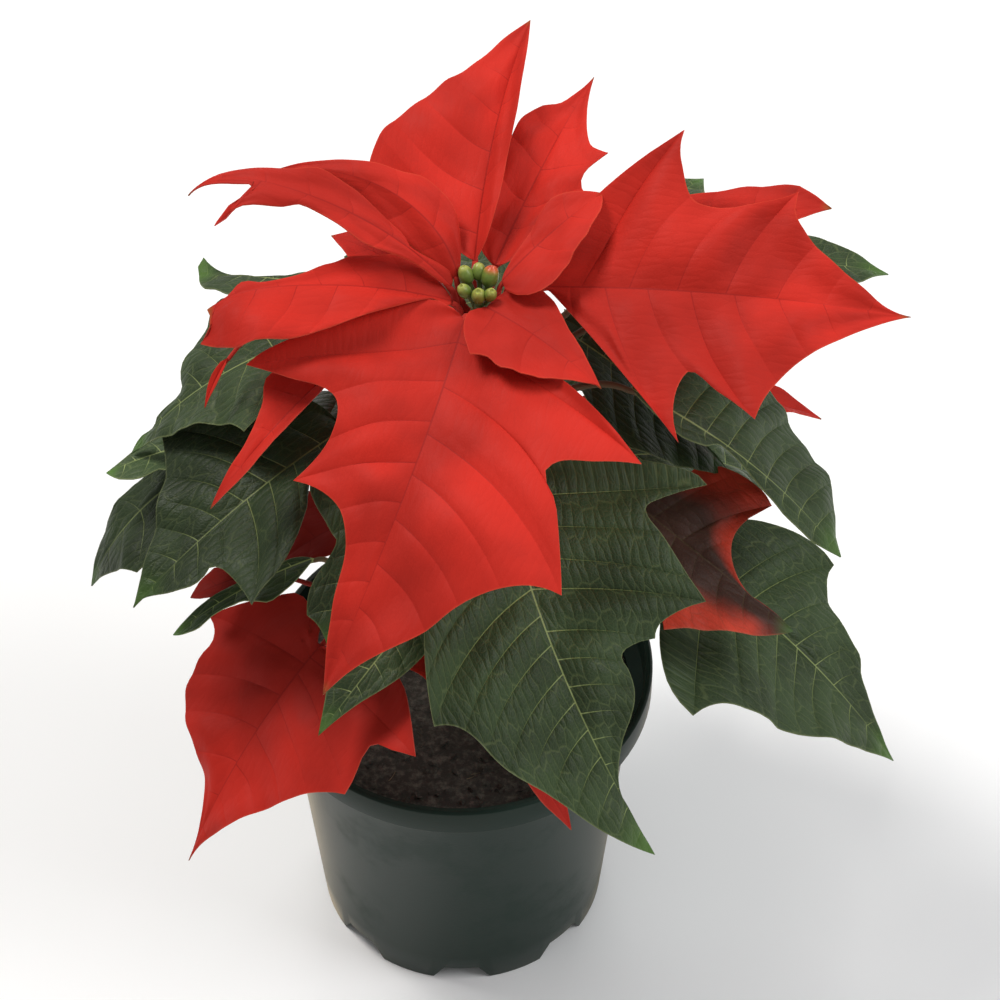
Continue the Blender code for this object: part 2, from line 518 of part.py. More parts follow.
class Half:
    """One half of a blade's outline, with the midrib foot that belongs to every margin point."""

    def __init__(self, sign, outline):
        self.sign = sign
        self.curve, corner_steps = margin_curve(outline)
        self.feet = vein_feet(self.curve)
        self.corner_feet = [float(self.feet[step]) for step in corner_steps[1:]]

    def snap(self, marks):
        """Move each lobe vein's foot to the nearest shared one."""
        given, wanted = [0.0], [0.0]
        for foot in self.corner_feet:
            nearest = min(marks, key=lambda mark: abs(mark - foot)) if marks else foot
            if abs(nearest - foot) < SAME_FOOT:
                given.append(foot)
                wanted.append(nearest)
        self.feet = np.interp(self.feet, given + [1.0], wanted + [1.0])

    def margin_length(self, feet):
        """Length along the margin at each foot, as a share of the whole."""
        steps = np.linalg.norm(np.diff(self.curve, axis=0), axis=1)
        lengths = np.concatenate([[0.0], np.cumsum(steps)])
        return np.interp(feet, self.feet, lengths / lengths[-1])

    def ribs(self, feet):
        """Points of every rib from its foot to the margin."""
        share = np.linspace(0, 1, RIB_STEPS + 1)[None, :, None]
        start = np.stack([feet, 0 * feet], axis=-1)
        end = np.stack([np.interp(feet, self.feet, self.curve[:, 0]),
                        np.interp(feet, self.feet, np.abs(self.curve[:, 1]))], axis=-1)
        run = end - start
        strength = VEIN_BOW * np.clip(feet / 0.2, 0, 1)[:, None]
        bow = start + run * 0.5 + np.stack([-run[:, 1], run[:, 0]], axis=-1) * strength
        grid = ((1 - share) ** 2 * start[:, None] + 2 * share * (1 - share) * bow[:, None]
                + share ** 2 * end[:, None])
        grid[..., 1] *= self.sign
        return grid


def rib_grid(blade, count):
    """Feet on the midrib, and for each half the points of every rib; each lobe's tip has a rib of its own."""
    halves = [Half(1, blade.right), Half(-1, blade.left)]
    marks = shared_feet(halves)
    for half in halves:
        half.snap(marks)
    fine = np.linspace(0, 1, 401)
    progress = (halves[0].margin_length(fine) + halves[1].margin_length(fine) + fine) / 3
    marks = [0.0] + marks + [1.0]
    at_marks = np.interp(marks, fine, progress)
    places = [0.0]
    for start, end in zip(at_marks[:-1], at_marks[1:]):
        parts = max(1, round((end - start) * count))
        places += [start + (end - start) * part / parts for part in range(1, parts + 1)]
    feet = np.interp(places, progress, fine)
    return feet, [half.ribs(feet) for half in halves]


def blade_mesh(blade, spine):
    """Points and triangles of the blade, split alike on both faces, thicker below along the midrib."""
    feet, grids = rib_grid(blade, RIBS if spine.length > SMALL_BLADE else RIBS_SMALL)
    count = len(feet)
    places = []
    index = np.zeros((2, count, RIB_STEPS + 1), int)
    for row in range(count):
        index[:, row, :] = len(places)
        places.append((feet[row], 0.0))
    for side, grid in enumerate(grids):
        for row in range(1, count - 1):
            for step in range(1, RIB_STEPS + 1):
                index[side, row, step] = len(places)
                places.append(tuple(grid[row, step]))
    places = np.array(places)
    upper = []
    for side in (0, 1):
        for row in range(count - 1):
            for step in range(RIB_STEPS):
                ring = [index[side, row, step], index[side, row + 1, step],
                        index[side, row + 1, step + 1], index[side, row, step + 1]]
                if side == 0:
                    ring = [ring[0], ring[3], ring[2], ring[1]]
                for triangle in ((ring[0], ring[1], ring[2]), (ring[0], ring[2], ring[3])):
                    if len(set(triangle)) == 3:
                        upper.append(triangle)
    total = len(places)
    keel = np.where(places[:, 1] == 0, MIDRIB_DEPTH * (1 - places[:, 0]) ** 1.3, 0.0)
    top = surface(blade, spine, places[:, 0], places[:, 1], np.full(total, BLADE_THICKNESS / 2))
    bottom = surface(blade, spine, places[:, 0], places[:, 1], -BLADE_THICKNESS / 2 - keel)
    edge = list(index[0, :, RIB_STEPS]) + list(index[1, 1:-1, RIB_STEPS][::-1])
    faces = [tuple(face) for face in upper]
    faces += [tuple(corner + total for corner in reversed(face)) for face in upper]
    for here, there in zip(edge, edge[1:] + edge[:1]):
        faces.append((here, there + total, there))
        faces.append((here, here + total, there + total))
    return np.vstack([top, bottom]), faces


def shoot_at(name, height):
    """Axis point, radius and heading of a shoot at a height."""
    points, radii = SHOOTS[name]
    points = np.array(points, float)
    below, place, above = (
        np.array([np.interp(level, points[:, 2], points[:, axis]) for axis in range(3)])
        for level in (height - 2, height, height + 2))
    return place, np.interp(height, points[:, 2], radii), unit(above - below)


def stalk_mesh(blade, spine):
    """Points and faces of the leaf stalk, from just off its shoot into the keel under the blade's foot."""
    axis_point, shoot_radius, shoot_heading = shoot_at(blade.shoot, blade.joint)
    base = np.array(blade.base, float)
    level = (base - axis_point) * (1, 1, 0)
    outward = unit(level - shoot_heading * np.dot(level, shoot_heading))
    thick = min(STALK_THICKEST, STALK_THINNEST + STALK_GROWTH * spine.length)
    thin = STALK_TAPER * thick
    start = axis_point + outward * (shoot_radius + TOUCH_GAP + 0.2 * thick)
    span = np.linalg.norm(base - start)
    leave = start + outward * span * STALK_PULL
    drop = -0.5 * (BLADE_THICKNESS + MIDRIB_DEPTH * 0.6)
    foot = base + spine.normals[0] * drop
    arrive = foot - spine.along[0] * span * STALK_PULL
    path, radii = [], []
    for share in np.arange(STALK_STEPS + 1) / STALK_STEPS:
        rest = 1 - share
        path.append(rest ** 3 * start + 3 * rest ** 2 * share * leave + 3 * rest * share ** 2 * arrive
                    + share ** 3 * foot)
        radii.append(thick + (thin - thick) * share)
    path.append(surface(blade, spine, STALK_SINK, 0.0, np.float64(drop * 0.9)))
    radii.append(thin * 0.7)
    return tube(path, radii, STALK_SIDES)


def build_blade(blade, materials):
    """One leaf or bract with its stalk, in one body."""
    spine = Spine(blade)
    material = materials[BLADE_MATERIALS[blade.kind]]
    points, faces = blade_mesh(blade, spine)
    item = make_object(blade.name, points, faces, material)
    stalk = make_object(blade.name + "_stalk", *stalk_mesh(blade, spine), material)
    apply_boolean(item, stalk, "UNION")
    return item


def lathe(profile, segments):
    """Points and faces of a turned body; the profile runs from axis to axis with outward faces."""
    points, faces, rings = [], [], []
    for radius, height in profile:
        if radius == 0:
            rings.append([len(points)] * segments)
            points.append((0.0, 0.0, height))
            continue
        rings.append(list(range(len(points), len(points) + segments)))
        for step in range(segments):
            angle = 2 * math.pi * step / segments
            points.append((radius * math.cos(angle), radius * math.sin(angle), height))
    for lower, upper in zip(rings[:-1], rings[1:]):
        for step in range(segments):
            after = (step + 1) % segments
            ring = (lower[step], lower[after], upper[after], upper[step])
            face = tuple(dict.fromkeys(ring))
            if len(face) > 2:
                faces.append(face)
    return points, faces


def wall_radius(height):
    """Outer radius of the pot's tapered body at a height."""
    share = height / (POT_HEIGHT - RIM_BAND_HEIGHT)
    return FOOT_RADIUS + (BODY_TOP_RADIUS - FOOT_RADIUS) * share


def build_pot(material):
    """Thin-walled pot with a rim band, a raised floor with drain holes and a notched foot."""
    band_bottom = POT_HEIGHT - RIM_BAND_HEIGHT
    step_bottom = band_bottom - BAND_STEP
    floor_top = FLOOR_HEIGHT + FLOOR_THICKNESS
    profile = (
        (0, 0), (PAD_RADIUS, 0), (PAD_RADIUS + PAD_DRAFT, FLOOR_HEIGHT),
        (FOOT_RADIUS - WALL - FOOT_DRAFT, FLOOR_HEIGHT), (FOOT_RADIUS - WALL, 0), (FOOT_RADIUS, 0),
        (wall_radius(step_bottom), step_bottom), (RIM_RADIUS - RIM_EDGE, band_bottom),
        (RIM_RADIUS, band_bottom + RIM_EDGE), (RIM_RADIUS, POT_HEIGHT - RIM_EDGE),
        (RIM_RADIUS - RIM_EDGE, POT_HEIGHT), (RIM_RADIUS - RIM_LIP_WIDTH, POT_HEIGHT),
        (RIM_RADIUS - RIM_LIP_WIDTH - RIM_LIP_DRAFT, band_bottom + RIM_LIP_WIDTH),
        (BODY_TOP_RADIUS - WALL, step_bottom), (wall_radius(floor_top) - WALL, floor_top),
        (WELL_RADIUS + WALL, floor_top), (WELL_RADIUS, FLOOR_THICKNESS), (0, FLOOR_THICKNESS),
    )
    pot = make_object("pot", *lathe(profile, POT_SEGMENTS), material)
    for step in range(FOOT_NOTCHES):
        angle = 2 * math.pi * step / FOOT_NOTCHES
        apply_boolean(pot, notch_cutter(angle, material), "DIFFERENCE")
    for step in range(DRAIN_HOLES):
        angle = 2 * math.pi * (step + 0.5) / DRAIN_HOLES
        apply_boolean(pot, hole_cutter(angle, material), "DIFFERENCE")
    pot.data.shade_smooth()
    pot.data.set_sharp_from_angle(angle=math.radians(POT_CREASE_ANGLE))
    return pot


def notch_cutter(angle, material):
    """A wedge that cuts one notch out of the foot ring."""
    outward = np.array((math.cos(angle), math.sin(angle), 0.0))
    across = np.array((-outward[1], outward[0], 0.0))
    inner, outer = FOOT_RADIUS - 3 * WALL, FOOT_RADIUS + 3 * WALL
    points = []
    for reach in (inner, outer):
        for width, height in ((NOTCH_WIDTH_BOTTOM, -1.0), (NOTCH_WIDTH_TOP, NOTCH_HEIGHT)):
            for side in (-1, 1):
                points.append(outward * reach + across * side * width / 2 + np.array((0, 0, height)))
    faces = ((0, 2, 3, 1), (4, 5, 7, 6), (0, 1, 5, 4), (2, 6, 7, 3), (0, 4, 6, 2), (1, 3, 7, 5))
    return make_object("notch", points, faces, material)


def hole_cutter(angle, material):
    """A round pin that cuts one drain hole."""
    middle = np.array((math.cos(angle), math.sin(angle), 0.0)) * DRAIN_CIRCLE_RADIUS
    path = [middle + np.array((0, 0, FLOOR_HEIGHT - 2)), middle + np.array((0, 0, FLOOR_HEIGHT + 4))]
    return make_object("hole", *tube(path, (DRAIN_HOLE_RADIUS,) * 2, DRAIN_HOLE_SIDES), material)


def build_soil(material):
    """The filling of the pot, with a rough top and a plain hole for the stem."""
    band_bottom = POT_HEIGHT - RIM_BAND_HEIGHT
    stem_points, stem_radii = SHOOTS["main"]
    hole = max(stem_radii) + TOUCH_GAP
    hole_bottom = stem_points[0][2] - TOUCH_GAP
    floor_top = FLOOR_HEIGHT + FLOOR_THICKNESS + TOUCH_GAP
    side = BODY_TOP_RADIUS - WALL - 2 * TOUCH_GAP
    profile = (
        (0, FLOOR_THICKNESS + TOUCH_GAP), (WELL_RADIUS - WALL, FLOOR_THICKNESS + TOUCH_GAP),
        (WELL_RADIUS, floor_top), (wall_radius(floor_top) - WALL - 2 * TOUCH_GAP, floor_top),
        (side, band_bottom - BAND_STEP), (side, SOIL_TOP),
        *((radius, SOIL_TOP) for radius in SOIL_RINGS),
        (SOIL_SMOOTH_RADIUS, SOIL_TOP + 0.6), (hole, SOIL_TOP + 1.0), (hole, hole_bottom), (0, hole_bottom),
    )
    points, faces = lathe(profile, POT_SEGMENTS // 2)
    draw = random.Random(SOIL_SEED)
    rough = []
    for x, y, z in points:
        reach = math.hypot(x, y)
        if z == SOIL_TOP and SOIL_SMOOTH_RADIUS < reach < side:
            z += draw.uniform(-SOIL_ROUGHNESS, SOIL_ROUGHNESS)
        rough.append((x, y, z))
    return make_object("soil", rough, faces, material, smooth=False)


def build_stem(material):
    """The main stem with its side shoots, in one body."""
    stem = None
    for points, radii in SHOOTS.values():
        item = make_object("stem", *tube(points, radii, STEM_SIDES), material)
        if stem is None:
            stem = item
        else:
            apply_boolean(stem, item, "UNION")
    return stem


def build_buds(material):
    """The bud cluster: a small head just above the stem's end, with the buds on short stalks."""
    points, radii = SHOOTS["main"]
    x, y, z = points[-1]
    floor = z + TOUCH_GAP
    path = [(x, y, floor), (x, y, floor + 0.5 * HEAD_HEIGHT), (x, y, floor + HEAD_HEIGHT)]
    sizes = (0.85 * HEAD_RADIUS, HEAD_RADIUS, 0.6 * HEAD_RADIUS)
    head = make_object("cyathia", *tube(path, sizes, STEM_SIDES), material)
    for ring, turn, height, radius in BUDS:
        angle = math.radians(turn)
        middle = np.array((x + ring * math.cos(angle), y + ring * math.sin(angle), height))
        start = np.array((x + 0.4 * ring * math.cos(angle), y + 0.4 * ring * math.sin(angle), floor + 1.0))
        along = unit(middle - start)
        half = radius * BUD_LENGTH
        path = [start, middle - along * half]
        sizes = [BUD_STALK_RADIUS, BUD_STALK_RADIUS]
        for share in BUD_STATIONS:
            path.append(middle + along * half * share)
            sizes.append(radius * math.sqrt(1 - share ** 2))
        apply_boolean(head, make_object("bud", *tube(path, sizes, BUD_SIDES), material), "UNION")
    return head


def main():
    """Build the whole plant."""
    clear_scene()
    materials = {name: make_material(name, ROUGHNESS[name]) for name in COLOURS}
    build_pot(materials["pot_plastic"])
    build_soil(materials["soil_peat"])
    build_stem(materials["stem_bark"])
    build_buds(materials["bud_green"])
    for blade in BLADES:
        build_blade(blade, materials)


main()
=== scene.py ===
"""Looks of a poinsettia in a plastic nursery pot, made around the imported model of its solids.

Sizes in the tables are in millimetres; meshes are written in metres, +Z up, with the middle of the pot's
underside at the origin and the plant's front towards -Y.
"""
import math
import random
from collections import namedtuple

import bpy
import numpy as np
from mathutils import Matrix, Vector, noise


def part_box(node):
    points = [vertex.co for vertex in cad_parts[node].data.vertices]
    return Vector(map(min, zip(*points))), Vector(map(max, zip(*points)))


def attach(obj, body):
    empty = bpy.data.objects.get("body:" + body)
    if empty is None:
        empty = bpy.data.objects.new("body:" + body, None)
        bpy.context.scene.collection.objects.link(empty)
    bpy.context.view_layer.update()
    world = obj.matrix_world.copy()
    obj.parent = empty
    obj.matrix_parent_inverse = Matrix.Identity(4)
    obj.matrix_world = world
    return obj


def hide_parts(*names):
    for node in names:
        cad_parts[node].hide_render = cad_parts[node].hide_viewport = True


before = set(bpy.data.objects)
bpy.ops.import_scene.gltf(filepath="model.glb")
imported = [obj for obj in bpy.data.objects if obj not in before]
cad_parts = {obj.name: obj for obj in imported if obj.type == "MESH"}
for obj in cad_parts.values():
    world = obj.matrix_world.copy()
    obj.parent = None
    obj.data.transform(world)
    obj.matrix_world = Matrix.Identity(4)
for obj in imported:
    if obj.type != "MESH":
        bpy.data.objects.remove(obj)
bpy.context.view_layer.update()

bl_info = {
    "name": "Poinsettia in a nursery pot",
    "version": (1, 0, 0),
    "blender": (4, 5, 0),
    "location": "3D View > Sidebar > Poinsettia",
    "description": "Leaves, bracts, buds, stem, soil and pot of a poinsettia, with a plain studio",
    "category": "Add Mesh",
}

MM = 0.001
ROOT = "root"

# Pot
POT_SIDES = 96
BODY_TOP_RADIUS = 59.0
RIM_BAND_HEIGHT = 11.0
RIM_LIP_WIDTH = 2.4
RIM_LIP_DRAFT = 0.5
RIM_EDGE = 0.8
BAND_STEP = 1.0
WALL = 1.6
FLOOR_HEIGHT = 8.0
FLOOR_THICKNESS = 1.6
PAD_RADIUS = 18.0
PAD_DRAFT = 2.0
WELL_RADIUS = PAD_RADIUS - 1 - WALL
FOOT_DRAFT = 1.0
FOOT_NOTCHES = 8
NOTCH_HEIGHT = 7.0
NOTCH_WIDTH_TOP = 12.0
NOTCH_WIDTH_BOTTOM = 21.0
DRAIN_HOLES = 8
DRAIN_HOLE_RADIUS = 3.5
DRAIN_CIRCLE_RADIUS = 34.0
DRAIN_HOLE_SIDES = 20
BEVEL_WIDTH = 0.35
BEVEL_ANGLE = 28.0
POT_SMOOTH_ANGLE = 35.0
FIRST_WALL_RING = 14.0

# Soil
SOIL_TOP = 103.0
SOIL_BOTTOM = 12.0
SOIL_RINGS = 44
SOIL_RADIUS = BODY_TOP_RADIUS - WALL
SOIL_GAP = 0.2
STEM_MOUND = 1.2
CRUMBS = 420
CRUMB_SIZE = 1.9
CRUMB_EDGE_GAP = 3.5
CRUMB_CLEAR_RADIUS = 8
FIBRES = 26
FIBRE_EDGE_GAP = 8
FIBRE_LIFT = 0.35

# Shoots: points on the axis with the radius at each
SHOOTS = {
    "main": (((0, 0, 92), (0, 0, 112), (2, 1, 150), (5, 1, 205), (8, 0, 250), (8, 0, 280)),
             (5.2, 5.0, 4.6, 4.1, 3.6, 3.2)),
    "left": (((0, 0, 124), (-12, -12, 142), (-24, -20, 168), (-30, -26, 192)), (3.6, 3.2, 2.9, 2.5)),
    "right": (((1, 0, 128), (18, -2, 148), (34, -5, 170), (42, -8, 188)), (3.6, 3.2, 2.9, 2.5)),
    "back": (((1, 0, 130), (-1, 16, 148), (0, 28, 170), (2, 34, 190)), (3.6, 3.2, 2.9, 2.5)),
}
SHOOT_SIDES = 18
SHOOT_STEP = 1.6
NODE_SWELLING = 0.07
NODE_HALF_HEIGHT = 2.2
MOST_SWELLING = 1.12

# Buds: distance from the axis, turn in degrees, height of the middle, radius
BUDS = (
    (6.0, 140.0, 288.0, 1.9), (4.9, 99.0, 288.2, 1.8), (4.0, 51.0, 288.0, 2.2),
    (5.2, 198.0, 286.6, 1.7), (3.6, 258.0, 286.4, 1.9), (4.7, 304.0, 287.3, 1.6),
)
BUD_LENGTH = 1.45
BUD_FULLNESS = 1.2
HEAD_FLOOR = 280.0
HEAD_RADIUS = 3.4
HEAD_HEIGHT = 3.2
RED_TIPPED_BUD = 2

# Studio, in metres
CAMERA_PITCH = 47.0        # degrees below the horizon
CAMERA_LENS = 112.97
CAMERA_SENSOR = 36.0
CAMERA_PLACE = (0.0135, -0.682, 0.9254)
FLOOR_SIZE = 6.0
FLOOR_DROP = 0.0002
LIGHT_TARGET = (0.0, 0.0, 0.2)
WORLD_STRENGTH = 0.32

# Lights: name, place, width and height, power in watts, colour
LIGHTS = (
    ("key_light", (-1.3, 0.5, 2.8), (0.9, 0.9), 60.0, (1.0, 0.98, 0.95)),
    ("fill_light", (1.9, -0.5, 2.0), (1.4, 1.4), 34.0, (0.97, 0.98, 1.0)),
    ("back_light", (0.3, 1.9, 2.2), (1.5, 0.8), 14.0, (1.0, 1.0, 1.0)),
)

# Leaf blades
VEIN_SLANT = 0.55
VEIN_SLANT_REACH = 0.4
SAME_FOOT = 0.03
VEIN_BOW = 0.12
CURL_REACH = 0.4
HOOK_START = 0.66
SPINE_STEPS = 60
STALK_SIDES = 12
STALK_STEPS = 16
STALK_SINK = 0.06
STALK_THICKEST = 1.7
STALK_THINNEST = 0.9
STALK_GROWTH = 0.007
STALK_TAPER = 0.62
STALK_PULL = 0.35
STALK_IN_BARK = 0.3
STALK_DROP = 0.79
STALK_SWELLING = 0.35
STALK_SWELLING_LENGTH = 2.5
KEEL_DEPTH = 1.1
MARGIN_THICKNESS = 0.3
MIDRIB_HALF_WIDTH = 0.45
SIDE_VEIN_HALF_WIDTH = 0.34
ROW_SPACING = 2.2
COLUMNS = 13
MARGIN_BAND = 0.7
VEIN_OFFSET = 0.25
BETWEEN_VEIN_STRENGTH = 0.75
VALLEY_WIDTH = 5.0
TAPER_WIDTH = 18.0
SMALL_BLADE = 90.0
SHALLOWEST = 0.35
BRACT_GROOVE = 0.5
BRACT_SWELL = 1.6

# Waves of a margin and broad folds of a blade: how many on its length, drawn between two numbers
LONG_WAVES = (2.2, 3.4)
SHORT_WAVES = (5.0, 7.5)
SHORT_WAVE_SHARE = 0.35
BROAD_FOLDS = (1.2, 2.0)
BROAD_FOLD_LEAN = (0.35, 0.7)

RED = "red"
GREEN = "green"
TURNING = "turning"
CORNER = "corner"
SIDE_VEIN_SPACING = {RED: 13.0, GREEN: 9.0, TURNING: 10.0}

# Margins, as (share along the midrib, share outwards) of the blade's length; CORNER marks a lobe's tip
LOBED = ((0.03, 0.10), (0.12, 0.22), (0.22, 0.27), (0.33, 0.40, CORNER), (0.38, 0.28), (0.48, 0.22),
         (0.60, 0.27, CORNER), (0.66, 0.16), (0.82, 0.07))
ONE_LOBE = ((0.02, 0.12), (0.10, 0.24), (0.24, 0.30), (0.40, 0.33), (0.50, 0.38, CORNER),
            (0.56, 0.26), (0.70, 0.17), (0.86, 0.07))
OVAL = ((0.05, 0.12), (0.18, 0.22), (0.35, 0.25), (0.55, 0.22), (0.75, 0.13), (0.90, 0.05))
NARROW = ((0.06, 0.08), (0.20, 0.14), (0.40, 0.16), (0.62, 0.13), (0.85, 0.05))
SLIVER = ((0.12, 0.07), (0.45, 0.10), (0.80, 0.04))

# A blade runs from its base to its tip. roll turns it about that line, arch bends it down over its whole
# length, hook bends the end down, sweep turns it sideways towards its right. fold and curl are given for
# the left and the right half: the rise at the midrib and the further turn towards the margin, in degrees.
Blade = namedtuple(
    "Blade",
    "name kind shoot joint base tip right left roll arch hook sweep fold curl",
    defaults=(0, 30, 0, 0, (8, 8), (-6, -6)),
)

